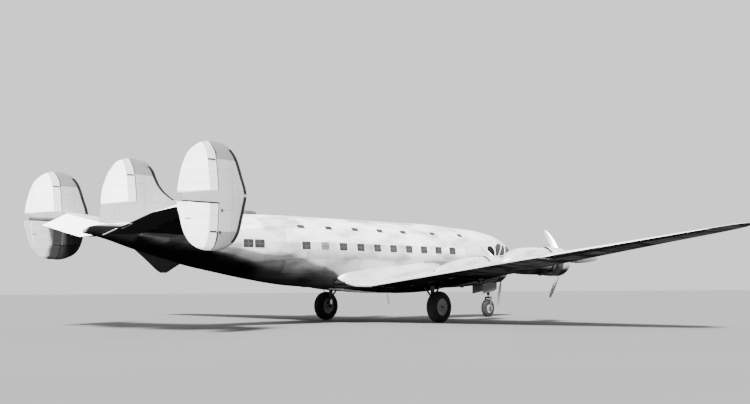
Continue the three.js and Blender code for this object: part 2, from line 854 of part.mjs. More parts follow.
const END_RUDDERS = [
  {
    word: "upper",
    hinge: [
      [2145, 5570],
      [2045, 6770],
    ],
    region: [
      [2145, 5570],
      [2045, 6770],
      [2010, 7050],
      [1890, 7260],
      [1750, 7460],
      [1750, 7700],
      [0, 7700],
      [0, 5355],
      [570, 5355],
    ],
  },
  {
    word: "lower",
    hinge: [
      [2130, 3960],
      [2163, 5095],
    ],
    region: [
      [1890, 3000],
      [1890, 3240],
      [2020, 3420],
      [2090, 3650],
      [2130, 3960],
      [2163, 5095],
      [570, 5100],
      [0, 5100],
      [0, 3000],
    ],
  },
];

// Where the fixed stub fairing between the two rudders of an end fin ends bluntly
const BEHIND_STUB = [
  [570, 5090],
  [570, 5365],
  [0, 5365],
  [0, 5090],
];

// An outline drawn in by a distance, for outlines listed clockwise in the side view.
function inset(outline, distance) {
  const count = outline.length;
  const centre = outline.reduce(([a, b], [x, z]) => [a + x / count, b + z / count], [0, 0]);
  return outline.map((corner, i) => {
    const before = outline[(i + count - 1) % count];
    const after = outline[(i + 1) % count];
    const normal = (from, to) => {
      const n = new THREE.Vector2(to[1] - from[1], from[0] - to[0]).normalize();
      const toCentre = new THREE.Vector2(centre[0] - corner[0], centre[1] - corner[1]);
      return n.dot(toCentre) < 0 ? n.negate() : n;
    };
    const [n1, n2] = [normal(before, corner), normal(corner, after)];
    const bisector = n1.clone().add(n2).normalize();
    const reach = distance / Math.max(0.4, bisector.dot(n1));
    return [corner[0] + bisector.x * reach, corner[1] + bisector.y * reach];
  });
}

for (const [word, side] of [
  ["right", -1],
  ["left", 1],
]) {
  const y = side * FIN_OFFSET;
  const full = finBody(END_FIN_ROWS, y);
  let fixed = full.subtract(rudderPrism(BEHIND_STUB, y));
  for (const rudder of END_RUDDERS) {
    const { nose, room, pins, holes } = rudderHinge(END_FIN_ROWS, y, rudder.hinge);
    const panel = rudderPrism(inset(rudder.region, MOVING_GAP), y).add(nose).subtract(holes);
    fixed = fixed
      .subtract(rudderPrism(rudder.region, y))
      .subtract(rudderSwing(END_FIN_ROWS, rudder.region, y, rudder.hinge))
      .subtract(room)
      .add(pins.intersect(full));
    add(`${word}_${rudder.word}_rudder`, full.intersect(panel), FINISH.fabric);
  }
  add(`${word}_end_fin`, fixed, FINISH.metal);
}

const CENTRE_RUDDER = {
  hinge: [
    [2400, 5605],
    [2300, 6770],
  ],
  region: [
    [2400, 5605],
    [2300, 6770],
    [2240, 7100],
    [2150, 7290],
    [2040, 7480],
    [2040, 7700],
    [0, 7700],
    [0, 5250],
  ],
};
const centreFull = finBody(CENTRE_FIN_ROWS, 0);
const centreHinge = rudderHinge(CENTRE_FIN_ROWS, 0, CENTRE_RUDDER.hinge);
const centrePanel = rudderPrism(inset(CENTRE_RUDDER.region, MOVING_GAP), 0)
  .add(centreHinge.nose)
  .subtract(centreHinge.holes);
const centreFixed = centreFull
  .subtract(rudderPrism(CENTRE_RUDDER.region, 0))
  .subtract(rudderSwing(CENTRE_FIN_ROWS, CENTRE_RUDDER.region, 0, CENTRE_RUDDER.hinge))
  .subtract(centreHinge.room)
  .add(centreHinge.pins.intersect(centreFull));
const DORSAL_ROWS = [
  // station, top, half width at its foot
  [8300, 5320, 40],
  [6600, 5360, 120],
  [5300, 5520, 150],
  [4480, 5770, 140],
  [3800, 6000, 120],
];
const dorsal = loft(
  DORSAL_ROWS.map(([station, top, half]) => [
    point(station, -half, 4900),
    point(station, -half, mix(5000, top, 0.35)),
    point(station, -22, top),
    point(station, 22, top),
    point(station, half, mix(5000, top, 0.35)),
    point(station, half, 4900),
  ]),
);
add("centre_rudder", centreFull.intersect(centrePanel), FINISH.fabric);
add("centre_fin", centreFixed.add(dorsal).subtract(grownFuselage), FINISH.metal);

// Stabilisers and elevators
const STABILISER_ROWS = [
  // distance from the centreline, leading edge, trailing edge, thickness
  [150, 5350, 330, 560],
  [900, 5120, 330, 520],
  [FIN_OFFSET, 3560, 380, 300],
];
const ELEVATOR_OUTER = [
  [2200, 6150],
  [380, 4500],
];
const ELEVATOR_INNER = [
  [2200, 720],
  [380, 900],
];

// What lies beyond an end fin's middle plane
function beyondEndFin(side) {
  const geometry = new THREE.BoxGeometry(9000, 2000, 9000);
  geometry.translate(along(3000), side * (FIN_OFFSET + 1000), 5000);
  return solidOf(geometry);
}

// A solid turned about an axis through a point, in degrees.
function turnedAbout(solid, centre, axis, degrees) {
  const matrix = new THREE.Matrix4()
    .makeTranslation(centre.x, centre.y, centre.z)
    .multiply(new THREE.Matrix4().makeRotationAxis(axis, THREE.MathUtils.degToRad(degrees)))
    .multiply(new THREE.Matrix4().makeTranslation(-centre.x, -centre.y, -centre.z));
  return solid.transform(matrix.elements);
}

function stabiliserPlane(side) {
  const tilt = Math.atan(STABILISER.rise) * side;
  return new THREE.Matrix4()
    .makeTranslation(0, 0, STABILISER.height)
    .multiply(new THREE.Matrix4().makeRotationX(tilt));
}

for (const [word, side] of [
  ["right", -1],
  ["left", 1],
]) {
  const plane = stabiliserPlane(side);
  const stretch = Math.hypot(1, STABILISER.rise);
  const inPlane = (station, y, t) =>
    new THREE.Vector3(along(station), side * y * stretch, t).applyMatrix4(plane);
  const full = loft(
    STABILISER_ROWS.map(([y, leading, trailing, thickness]) =>
      thinRing(leading, trailing, thickness, (x, t) => inPlane(x, y, t)),
    ),
  );
  const half = (y) => halfThickness(STABILISER_ROWS, y, STABILISER.hinge);
  const hingeAt = (y) => inPlane(STABILISER.hinge, y, 0);
  const [innerHinge, outerHinge] = [ELEVATOR_INNER[0][1], ELEVATOR_OUTER[0][1]];
  const tube = (gap, shorten) =>
    bar(
      hingeAt(innerHinge + shorten),
      hingeAt(outerHinge - shorten),
      half(innerHinge + shorten) + gap,
      half(outerHinge - shorten) + gap,
      NOSE_SIDES,
    );
  const { pins, holes } = hingePins({ inner: innerHinge, outer: outerHinge }, hingeAt);
  const outlineOf = (drawIn) => {
    const outline = [
      [along(ELEVATOR_INNER[0][0]), ELEVATOR_INNER[0][1] + drawIn],
      [along(ELEVATOR_OUTER[0][0]), ELEVATOR_OUTER[0][1] - drawIn],
      [along(ELEVATOR_OUTER[1][0]), ELEVATOR_OUTER[1][1] - drawIn],
      [along(-300), mix(ELEVATOR_OUTER[1][1], ELEVATOR_OUTER[0][1], -0.37) - drawIn],
      [along(-300), ELEVATOR_INNER[1][1] + drawIn],
    ];
    return outline.map(([x, y]) => [x, side * y * stretch]);
  };
  const panel = prism(outlineOf(MOVING_GAP), -900, 900, plane);
  const elevator = full.intersect(panel.add(tube(-2, MOVING_GAP))).subtract(holes);
  const behind = prism(
    [
      [along(-900), 0],
      [along(STABILISER.hinge), 0],
      [along(STABILISER.hinge), side * 9000],
      [along(-900), side * 9000],
    ],
    -900,
    900,
    plane,
  );
  const fixed = full
    .subtract(behind)
    .subtract(tube(MOVING_GAP, 0))
    .add(pins)
    .subtract(grownFuselage)
    .subtract(finBody(END_FIN_ROWS, side * FIN_OFFSET, SEAT_GAP))
    .subtract(beyondEndFin(side));
  const hingePoint = hingeAt(0);
  const axis = new THREE.Vector3().subVectors(hingeAt(1000), hingePoint).normalize();
  const drooped = turnedAbout(elevator, hingePoint, axis, STABILISER.droop * -side);
  add(`${word}_stabiliser`, fixed, FINISH.metal);
  add(`${word}_elevator`, drooped, FINISH.fabric);
}

// Tail skid fin below the tail cone
const SKID_ROWS = [
  // height, leading edge, trailing edge, thickness
  [2520, 4060, 3700, 90],
  [2640, 4240, 3520, 110],
  [3000, 4840, 3080, 150],
  [3500, 5350, 2430, 170],
];
const skid = loft(
  SKID_ROWS.map(([height, leading, trailing, thickness]) =>
    thinRing(leading, trailing, thickness, (x, t) => point(x, t, height)),
  ),
);
add("tail_skid", skid.subtract(grownFuselage), FINISH.metal);

// Aerial fairing on the roof
const AERIAL = { station: 8520, height: 5415, length: 1130, radius: 130, rise: 145 };
const aerial = new THREE.SphereGeometry(1, 10, 6);
aerial.scale(AERIAL.length / 2, AERIAL.radius, AERIAL.rise);
aerial.translate(along(AERIAL.station), 0, AERIAL.height);
add("aerial_fairing", solidOf(aerial).subtract(grownFuselage).subtract(dorsal), FINISH.dark);

// Wheels: tyre and hub, each turning about its axle
const WHEEL_SIDES = 24;
const AXLE_RADIUS = 62;

function wheelParts({ station, side, radius, width }, name) {
  const rim = radius * 0.56;
  const profile = [];
  const steps = 8;
  for (let i = 0; i <= steps; i++) {
    const angle = Math.PI * (i / steps);
    const across = -Math.cos(angle);
    const bulge = Math.sign(across) * Math.pow(Math.abs(across), 0.75);
    const reach = rim + (radius - rim) * Math.pow(Math.sin(angle), 0.75);
    profile.push(new THREE.Vector2(reach, (bulge * width) / 2));
  }
  profile.push(profile[0].clone());
  const tyre = new THREE.LatheGeometry(profile, WHEEL_SIDES);
  const hubHalf = width * 0.36;
  const bore = AXLE_RADIUS + 1.4;
  const hubProfile = [
    [bore, -hubHalf - 20],
    [rim * 0.35, -hubHalf - 20],
    [rim - SEAT_GAP, -width * 0.3],
    [rim - SEAT_GAP, width * 0.3],
    [rim * 0.35, hubHalf + 20],
    [bore, hubHalf + 20],
    [bore, -hubHalf - 20],
  ].map(([r, h]) => new THREE.Vector2(r, h));
  const hub = new THREE.LatheGeometry(hubProfile, WHEEL_SIDES);
  for (const [word, geometry, material] of [
    ["tyre", tyre, FINISH.tyre],
    ["hub", hub, FINISH.gear],
  ]) {
    geometry.translate(along(station), side, radius);
    add(`${name}_${word}`, solidOf(geometry), material);
  }
}

// Main landing gear: leg inboard of the wheel, axle through the hub, side brace and drag brace
const LEG = { side: 3880, radius: 105, slider: 73, brace: 48, link: 34, collar: 100 };
for (const [word, side] of [
  ["right", -1],
  ["left", 1],
]) {
  const { station, side: wheelSide, radius, width } = MAIN_WHEEL;
  wheelParts({ ...MAIN_WHEEL, side: side * wheelSide }, `${word}_main`);
  const at = (ahead, across, up) => point(station + ahead, side * (LEG.side + across), radius + up);
  const rods = [
    // from and to as [ahead, outboard, up] of the axle's place on the leg, then radius and sides
    [[0, 0, 330], [0, 0, 1690], LEG.radius, 16],
    [[0, 0, -60], [0, 0, 360], LEG.slider, 16],
    [[0, -110, 0], [0, wheelSide - LEG.side + width / 2, 0], AXLE_RADIUS, 16],
    [[0, -120, 0], [0, 100, 0], LEG.collar, 16],
    [[0, 0, 420], [0, -930, 1440], LEG.brace, 10],
    [[0, 0, 420], [950, 0, 1490], LEG.brace, 10],
    [[-60, 0, 60], [-230, 0, 230], LEG.link, 8],
    [[-230, 0, 230], [-60, 0, 430], LEG.link, 8],
  ];
  const bars = rods.map(([from, to, thick, sides]) => bar(at(...from), at(...to), thick, thick, sides));
  add(`${word}_main_leg`, joined(bars).subtract(grownWings[side < 0 ? 0 : 1]), FINISH.gear);
}

// Nose landing gear: fixed upper leg, fork that steers, wheel
const { station: noseStation, radius: noseRadius, width: noseWidth, pivot } = NOSE_WHEEL;
const COLLAR = 1330; // height of the joint that steers
const NOSE_RODS = [
  // from and to as [ahead, left, up] of the steering collar, then radius and sides
  [[0, 0, SEAT_GAP], [0, 0, 1170], 88, 16],
  [[0, 0, 330], [-850, 0, 920], 42, 10],
  [[0, -60, 330], [-40, -380, 970], 36, 8],
  [[0, 60, 330], [-40, 380, 970], 36, 8],
];
const overCollar = ([ahead, left, up]) => point(pivot + ahead, left, COLLAR + up);
const noseLeg = joined(
  NOSE_RODS.map(([from, to, thick, sides]) => bar(overCollar(from), overCollar(to), thick, thick, sides)),
);
add("nose_leg", noseLeg.subtract(grownFuselage), FINISH.gear);
const forkSide = noseWidth / 2 + 55;
const crown = noseRadius * 2 + 90;
const atCrown = (side, lift = 0) => point(pivot, side * forkSide, crown + lift);
const atAxle = (side, past = 0) => point(noseStation, side * (forkSide + past), noseRadius);
const noseFork = joined([
  bar(point(pivot, 0, COLLAR), atCrown(0, -30), 74, 74, 16),
  bar(atCrown(-1), atCrown(1), 58, 58, 12),
  ...[-1, 1].map((side) => bar(atCrown(side), atAxle(side), 44, 44, 10)),
  bar(atAxle(-1, 40), atAxle(1, 40), AXLE_RADIUS, AXLE_RADIUS, 16),
]);
add("nose_fork", noseFork, FINISH.gear);
wheelParts(NOSE_WHEEL, "nose");

// Nose gear doors, hanging open beside the leg
const NOSE_DOOR = { aft: 26100, front: 27500, side: 400, height: 560, thickness: 24 };
for (const [word, side] of [
  ["right", -1],
  ["left", 1],
]) {
  const door = prism(
    [
      [along(NOSE_DOOR.aft), 2500],
      [along(NOSE_DOOR.front), 2500],
      [along(NOSE_DOOR.front), 2150 - NOSE_DOOR.height + 120],
      [along(NOSE_DOOR.front - 250), 2150 - NOSE_DOOR.height],
      [along(NOSE_DOOR.aft), 1990 - NOSE_DOOR.height],
    ],
    -NOSE_DOOR.thickness / 2,
    NOSE_DOOR.thickness / 2,
    sideView(side * NOSE_DOOR.side),
  );
  add(`${word}_nose_door`, door.subtract(grownFuselage), FINISH.metal);
}

export default airliner;
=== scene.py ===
import logging
import math
from bisect import bisect_right
from collections.abc import Callable, Sequence
from dataclasses import dataclass
from enum import Enum
from functools import reduce

import bmesh
import bpy
from mathutils import Matrix, Vector


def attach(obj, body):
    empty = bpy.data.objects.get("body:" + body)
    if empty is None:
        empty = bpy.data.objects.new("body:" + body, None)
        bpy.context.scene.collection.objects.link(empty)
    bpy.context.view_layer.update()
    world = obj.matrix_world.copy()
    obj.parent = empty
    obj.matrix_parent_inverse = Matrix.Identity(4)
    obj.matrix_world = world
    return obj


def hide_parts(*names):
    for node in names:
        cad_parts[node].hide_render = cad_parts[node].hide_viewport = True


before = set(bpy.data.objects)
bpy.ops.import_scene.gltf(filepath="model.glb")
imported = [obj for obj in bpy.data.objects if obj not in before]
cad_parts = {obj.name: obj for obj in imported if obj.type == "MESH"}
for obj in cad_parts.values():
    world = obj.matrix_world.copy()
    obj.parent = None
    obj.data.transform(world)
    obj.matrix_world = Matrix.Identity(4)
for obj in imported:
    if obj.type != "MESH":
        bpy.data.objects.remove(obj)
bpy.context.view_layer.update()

# Every size is in metres of the full-size airliner. Stations run forward from the tip of the tail cone.
MODEL_SCALE = 0.5
LENGTH = 29.74
AIRFRAME = "airframe"
LOG = logging.getLogger("airliner")
Pair = tuple[float, float]

FUSELAGE_ROWS = [
    # station, top, bottom, half width
    (0.0, 4.265, 4.135, 0.06),
    (0.3, 4.44, 4.085, 0.165),
    (1.0, 4.56, 3.93, 0.31),
    (2.1, 4.7, 3.61, 0.52),
    (3.5, 4.91, 3.23, 0.79),
    (5.0, 5.09, 2.87, 1.04),
    (6.7, 5.27, 2.56, 1.29),
    (8.7, 5.37, 2.225, 1.51),
    (10.85, 5.415, 1.955, 1.65),
    (13.14, 5.42, 1.83, 1.705),
    (15.5, 5.425, 1.78, 1.72),
    (20.5, 5.45, 1.78, 1.72),
    (23.0, 5.37, 1.795, 1.71),
    (24.9, 5.3, 1.87, 1.64),
    (26.2, 5.16, 1.985, 1.52),
    (27.3, 4.94, 2.15, 1.33),
    (28.2, 4.61, 2.37, 1.08),
    (28.9, 4.21, 2.62, 0.77),
    (29.35, 3.84, 2.86, 0.48),
    (29.62, 3.53, 3.06, 0.23),
    (29.74, 3.33, 3.21, 0.06),
]
AEROFOIL_ROWS = [
    # share of chord from the leading edge, upper height, lower depth, for a thickness of 1
    (0.0, 0.0, 0.0),
    (0.008, 0.14, 0.1),
    (0.04, 0.31, 0.21),
    (0.12, 0.5, 0.32),
    (0.25, 0.61, 0.4),
    (0.42, 0.59, 0.4),
    (0.6, 0.46, 0.32),
    (0.78, 0.27, 0.2),
    (1.0, 0.012, 0.012),
]
THIN_ROWS = [
    # share of chord from the leading edge, half thickness on each face, for a thickness of 1
    (0.0, 0.0, 0.0),
    (0.02, 0.18, 0.18),
    (0.1, 0.38, 0.38),
    (0.28, 0.5, 0.5),
    (0.5, 0.43, 0.43),
    (0.75, 0.25, 0.25),
    (1.0, 0.04, 0.04),
]
WING_TIP_ROWS = [
    # span position, leading edge pulled back, trailing edge pushed forward, thickness kept
    (19.7, 0.0, 0.0, 1.0),
    (20.35, 0.13, 0.04, 0.9),
    (20.75, 0.42, 0.17, 0.7),
    (20.98, 0.76, 0.38, 0.42),
    (21.07, 1.13, 0.69, 0.1),
]
FILLET_ROWS = [
    # station, outer edge from the centreline, height there, height of its line on the fuselage
    (21.33, 1.64, 2.25, 2.42),
    (20.81, 2.2, 2.505, 3.08),
    (20.14, 2.6, 2.69, 3.16),
    (19.39, 2.95, 2.775, 3.15),
    (17.38, 3.05, 2.58, 2.98),
    (15.85, 2.68, 2.245, 2.86),
    (14.39, 2.5, 1.92, 2.67),
    (13.69, 2.15, 1.95, 2.57),
    (13.3, 1.8, 2.11, 2.33),
]
BELLY_SHADE_ROWS = [
    # station, heights where the painted shade and reflection on the hull's belly begin, where they turn dark
    # and where they are black
    (0.0, 4.56, 4.5, 4.42),
    (1.6, 4.56, 4.5, 4.42),
    (2.6, 4.5, 4.2, 3.8),
    (3.5, 4.35, 3.9, 3.5),
    (4.2, 4.2, 3.85, 3.45),
    (5.9, 3.76, 3.56, 3.35),
    (7.7, 3.58, 3.2, 2.8),
    (8.8, 3.48, 2.8, 1.95),
    (10.1, 3.4, 2.55, 1.85),
    (11.3, 3.15, 2.4, 1.75),
    (12.7, 2.72, 2.2, 1.65),
    (13.6, 2.4, 2.0, 1.6),
    (16.0, 2.1, 1.8, 1.5),
    (24.0, 2.3, 2.0, 1.6),
    (29.74, 3.2, 3.0, 2.7),
]
END_FIN_ROWS = [
    # height, leading edge, trailing edge, thickness
    (3.24, 2.13, 1.7, 0.02),
    (3.3, 2.44, 1.38, 0.09),
    (3.56, 2.965, 0.92, 0.17),
    (4.0, 3.25, 0.64, 0.22),
    (4.5, 3.385, 0.5, 0.245),
    (4.9, 3.48, 0.385, 0.27),
    (5.45, 3.59, 0.4, 0.29),
    (6.2, 3.36, 0.53, 0.26),
    (6.88, 3.09, 0.8, 0.2),
    (7.17, 2.86, 1.08, 0.15),
    (7.37, 2.54, 1.4, 0.08),
    (7.45, 2.25, 1.7, 0.02),
]
CENTRE_FIN_ROWS = [
    # height, leading edge, trailing edge, thickness
    (4.4, 5.1, 0.69, 0.3),
    (5.4, 4.75, 0.78, 0.29),
    (5.77, 4.43, 0.79, 0.28),
    (5.92, 4.16, 0.815, 0.268),
    (6.15, 3.84, 0.86, 0.25),
    (6.4, 3.62, 0.95, 0.232),
    (6.74, 3.43, 1.08, 0.21),
    (7.0, 3.31, 1.262, 0.17),
    (7.25, 3.075, 1.45, 0.13),
    (7.38, 2.86, 1.72, 0.08),
    (7.475, 2.3, 2.05, 0.02),
]
STABILISER_ROWS = [
    # distance from the centreline, leading edge, trailing edge, thickness
    (0.15, 5.35, 0.33, 0.56),
    (0.9, 5.12, 0.33, 0.52),
    (6.35, 3.56, 0.38, 0.3),
]
SKID_ROWS = [
    # height, leading edge, trailing edge, thickness
    (2.52, 4.06, 3.7, 0.09),
    (2.64, 4.24, 3.52, 0.11),
    (3.0, 4.84, 3.08, 0.15),
    (3.5, 5.35, 2.43, 0.17),
]
NACELLE_ROWS = {
    # distance behind the hub, top and bottom from the hub's height, half width
    "outer": [
        (1.56, 0.61, -0.61, 0.605),
        (1.9, 0.665, -0.665, 0.645),
        (2.7, 0.655, -0.665, 0.63),
        (3.6, 0.61, -0.65, 0.57),
        (4.35, 0.47, -0.6, 0.45),
        (4.85, 0.19, -0.48, 0.28),
        (5.18, -0.08, -0.33, 0.06),
    ],
    "inner": [
        (1.56, 0.61, -0.61, 0.605),
        (1.9, 0.67, -0.665, 0.645),
        (3.24, 0.56, -0.64, 0.62),
        (4.2, 0.38, -0.6, 0.54),
        (5.0, 0.17, -0.52, 0.4),
        (5.7, -0.09, -0.43, 0.12),
    ],
}
BLADE_ROWS = [
    # share of radius, chord, thickness, twist in degrees from the disc
    (0.06, 0.13, 0.126, 62.0),
    (0.2, 0.22, 0.092, 50.0),
    (0.36, 0.345, 0.056, 38.0),
    (0.6, 0.335, 0.036, 27.0),
    (0.85, 0.255, 0.022, 21.0),
    (0.97, 0.16, 0.014, 19.0),
    (1.0, 0.06, 0.008, 18.0),
]
COCKPIT_PANES = [
    # stations and heights of each pane's corners
    [(25.95, 3.7), (26.2, 3.7), (26.72, 4.17), (27.02, 4.42), (26.6, 4.46), (26.05, 4.22)],
    [(26.33, 3.72), (27.0, 3.76), (27.4, 4.32), (27.12, 4.38), (26.8, 4.14)],
    [(27.15, 3.78), (28.1, 3.86), (28.35, 4.24), (27.55, 4.36)],
]
DORSAL_ROWS = [
    # station, height of the ridge, half width
    (8.3, 5.3, 0.02),
    (6.6, 5.36, 0.12),
    (5.3, 5.52, 0.15),
    (4.48, 5.77, 0.14),
    (3.8, 6.0, 0.12),
]
COWL_LENGTH = 1.33
COWL_OUTSIDE = [
    # distance behind the lip, radius beyond the cowl's own
    (0.0, -0.15), (0.008, -0.128), (0.03, -0.1), (0.06, -0.075), (0.11, -0.045), (0.17, -0.022),
    (0.24, -0.008), (0.34, 0.0), (0.7, 0.0), (1.0, -0.002), (1.2, -0.012), (COWL_LENGTH, -0.022),
]
COWL_INSIDE = [
    (COWL_LENGTH, -0.045), (0.6, -0.045), (0.33, -0.06), (0.2, -0.1), (0.12, -0.14), (0.06, -0.172),
    (0.025, -0.178), (0.006, -0.17),
]
COWL_BAND = [
    (0.75, 0.0), (0.753, 0.006), (1.0, 0.004), (1.2, -0.006), (COWL_LENGTH - 0.004, -0.016),
    (COWL_LENGTH, -0.024),
]
CRANKCASE = [
    # distance ahead of the hub, radius
    (-1.55, 0.6), (-1.53, 0.6), (-1.52, 0.34), (-1.3, 0.34), (-1.2, 0.3), (-1.13, 0.29), (-0.62, 0.29),
    (-0.6, 0.3), (-0.56, 0.3), (-0.54, 0.27), (-0.45, 0.255), (-0.36, 0.215), (-0.29, 0.165),
    (-0.24, 0.14), (-0.2, 0.13), (-0.19, 0.115), (-0.14, 0.1), (-0.132, 0.09),
]
PROPELLER_HUB = [
    (-0.125, 0.085), (-0.1, 0.12), (-0.08, 0.15), (-0.05, 0.165), (0.06, 0.165), (0.08, 0.15), (0.1, 0.13),
    (0.12, 0.118), (0.24, 0.112), (0.29, 0.098), (0.32, 0.075), (0.34, 0.045), (0.348, 0.02),
]
BLADE_SOCKET = [(0.1, 0.1), (0.19, 0.095), (0.2, 0.08), (0.235, 0.078), (0.245, 0.07)]
EXHAUST = [
    # distance behind the hub, out from the nacelle's middle, height above it
    (1.62, 0.4, -0.46),
    (1.75, 0.43, -0.54),
    (1.95, 0.44, -0.58),
    (2.2, 0.43, -0.6),
]
AHEAD = Vector((1.0, 0.0, 0.0))
UP = Vector((0.0, 0.0, 1.0))
MIDDLE = AHEAD * (LENGTH / 2)


class Side(Enum):
    """A side of the airliner, seen from its tail."""

    RIGHT = -1
    LEFT = 1

    @property
    def word(self) -> str:
        """The word that starts the names of the pieces on this side."""
        return self.name.lower()


class Slot(Enum):
    """Material slots of the record."""

    BARE = "bare_metal"
    FIN = "fin_metal"
    FABRIC = "doped_fabric"
    GLAZING = "dark_glazing"
    ENGINE = "engine_metal"
    BLADE = "blade_metal"
    GEAR = "gear_metal"
    TYRE = "tyre"
    DARK = "dark_fairing"


class Curve:
    """Smooth columns, without overshoot, read over the first column of a table."""

    def __init__(self, rows: Sequence[Sequence[float]]) -> None:
        """Sorts the rows and works out the slopes.

        Args:
            rows: The table; its first column is the key.
        """
        ordered = sorted(rows)
        self.keys = [row[0] for row in ordered]
        self.columns = [[row[i] for row in ordered] for i in range(1, len(ordered[0]))]
        self.slopes = [self._slopes(column) for column in self.columns]

    def _slopes(self, column: Sequence[float]) -> list[float]:
        """Gives the slope of one column at every key.

        Args:
            column: The column's values.

        Returns:
            The harmonic mean of the neighbouring slopes, and 0 at a turning point.
        """
        steps = [
            (column[i + 1] - column[i]) / (self.keys[i + 1] - self.keys[i])
            for i in range(len(column) - 1)
        ]
        inner = [0.0 if a * b <= 0 else 2 * a * b / (a + b) for a, b in zip(steps, steps[1:])]
        return [steps[0], *inner, steps[-1]]

    def at(self, key: float) -> list[float]:
        """Reads all the columns.

        Args:
            key: A value of the first column; beyond the ends, the end rows hold.

        Returns:
            One value for each further column.
        """
        i = min(max(bisect_right(self.keys, key) - 1, 0), len(self.keys) - 2)
        gap = self.keys[i + 1] - self.keys[i]
        t = held((key - self.keys[i]) / gap)
        values = []
        for column, slopes in zip(self.columns, self.slopes):
            rise = column[i + 1] - column[i]
            start, end = slopes[i] * gap, slopes[i + 1] * gap
            bend = (start + end - 2 * rise) * t + (3 * rise - 2 * start - end)
            values.append(column[i] + t * (start + t * bend))
        return values


def mix(a: float, b: float, share: float) -> float:
    """Goes from a to b by a share."""
    return a + (b - a) * share


def spread(start: float, end: float, count: int) -> list[float]:
    """Gives count + 1 even values from start to end."""
    return [mix(start, end, i / count) for i in range(count + 1)]


def full_turn(count: int) -> list[float]:
    """Gives count even angles round a circle."""
    return spread(0.0, 2 * math.pi, count)[:-1]


def held(value: float, low: float = 0.0, high: float = 1.0) -> float:
    """Holds a value between two others."""
    return min(max(value, low), high)


def between(marks: Sequence[float], step: float) -> list[float]:
    """Fills the gaps between marks evenly.

    Args:
        marks: Values that have to be in the list, in any order.
        step: The widest gap that is left.

    Returns:
        The marks and the values between them, rising.
    """
    ordered = sorted(set(marks))
    values = [ordered[0]]
    for low, high in zip(ordered, ordered[1:]):
        values += spread(low, high, max(1, math.ceil((high - low) / step - 1e-6)))[1:]
    return values


# Finishes
Socket = bpy.types.NodeSocket
NOISE_RANGE = (0.3, 0.7)
FLAT = (1.0, 1.0, 0.0)


class Nodes:
    """The node tree of one material in the making."""

    def __init__(self, name: str) -> None:
        """Starts a material with a principled shader.

        Args:
            name: The material's name.
        """
        self.material = bpy.data.materials.new(name)
        self.material.use_nodes = True
        self.tree = self.material.node_tree
        self.tree.nodes.clear()
        self.shader = self.tree.nodes.new("ShaderNodeBsdfPrincipled")
        output = self.tree.nodes.new("ShaderNodeOutputMaterial")
        self.tree.links.new(self.shader.outputs["BSDF"], output.inputs["Surface"])

    def feed(self, socket: Socket, value: object) -> None:
        """Links a socket to another, or sets it to a constant.

        Args:
            socket: The input.
            value: What it gets.
        """
        if isinstance(value, Socket):
            self.tree.links.new(value, socket)
        else:
            socket.default_value = value

    def add(self, kind: str, outlet: str | int, inputs: dict, **settings: object) -> Socket:
        """Adds a node.

        Args:
            kind: The node's type, without the word that all of them start with.
            outlet: The name or number of the output that is wanted.
            inputs: Values or sockets by input name or number.
            settings: Properties of the node.

        Returns:
            The output socket.
        """
        node = self.tree.nodes.new("ShaderNode" + kind)
        for key, value in settings.items():
            setattr(node, key, value)
        for key, value in inputs.items():
            self.feed(node.inputs[key], value)
        return node.outputs[outlet]

    def set(self, socket: str, value: object) -> None:
        """Feeds one of the shader's own sockets."""
        self.feed(self.shader.inputs[socket], value)

    def coords(self, kind: str) -> Socket:
        """Gives the object's own coordinates, or its normal."""
        return self.add("TexCoord", kind, {})

    def skin(self) -> Socket:
        """Gives the pattern coordinates that the mesh carries."""
        return self.add("Attribute", "Vector", {}, attribute_name="skin")

    def axis(self, name: str, vector: object) -> Socket:
        """Gives one part of a vector."""
        return self.add("SeparateXYZ", name, {0: vector})

    def math(self, operation: str, a: object, b: object = 0.0) -> Socket:
        """Adds a math node of two values."""
        return self.add("Math", 0, {0: a, 1: b}, operation=operation)

    def times(self, *values: object) -> Socket:
        """Multiplies values."""
        return reduce(lambda a, b: self.math("MULTIPLY", a, b), values)

    def plus(self, *values: object) -> Socket:
        """Adds values up."""
        return reduce(lambda a, b: self.math("ADD", a, b), values)

    def fit(self, value: object, low: float, high: float, to_low: object, to_high: object) -> Socket:
        """Maps a value from one range to another, held at its ends."""
        inputs = {"Value": value, "From Min": low, "From Max": high, "To Min": to_low, "To Max": to_high}
        return self.add("MapRange", 0, inputs)

    def vary(self, noise: object, low: float, high: float) -> Socket:
        """Maps the range that a noise mostly keeps to from low to high."""
        return self.fit(noise, *NOISE_RANGE, low, high)

    def share(self, value: object, none: float, full: float) -> Socket:
        """Goes from one value at 0 to another at 1."""
        return self.fit(value, 0.0, 1.0, none, full)

    def noise(self, vector: object, scale: float, detail: float = 3.0) -> Socket:
        """Adds a noise texture and gives its value."""
        return self.add("TexNoise", "Fac", {"Vector": vector, "Scale": scale, "Detail": detail})

    def stretched(self, vector: object, scale: tuple[float, float, float]) -> Socket:
        """Scales a vector along its axes."""
        return self.add("VectorMath", 0, {0: vector, 1: scale}, operation="MULTIPLY")

    def bump(self, height: object, distance: float, strength: float = 1.0) -> None:
        """Feeds the shader's normal from a height."""
        inputs = {"Height": height, "Distance": distance, "Strength": strength}
        self.set("Normal", self.add("Bump", "Normal", inputs))


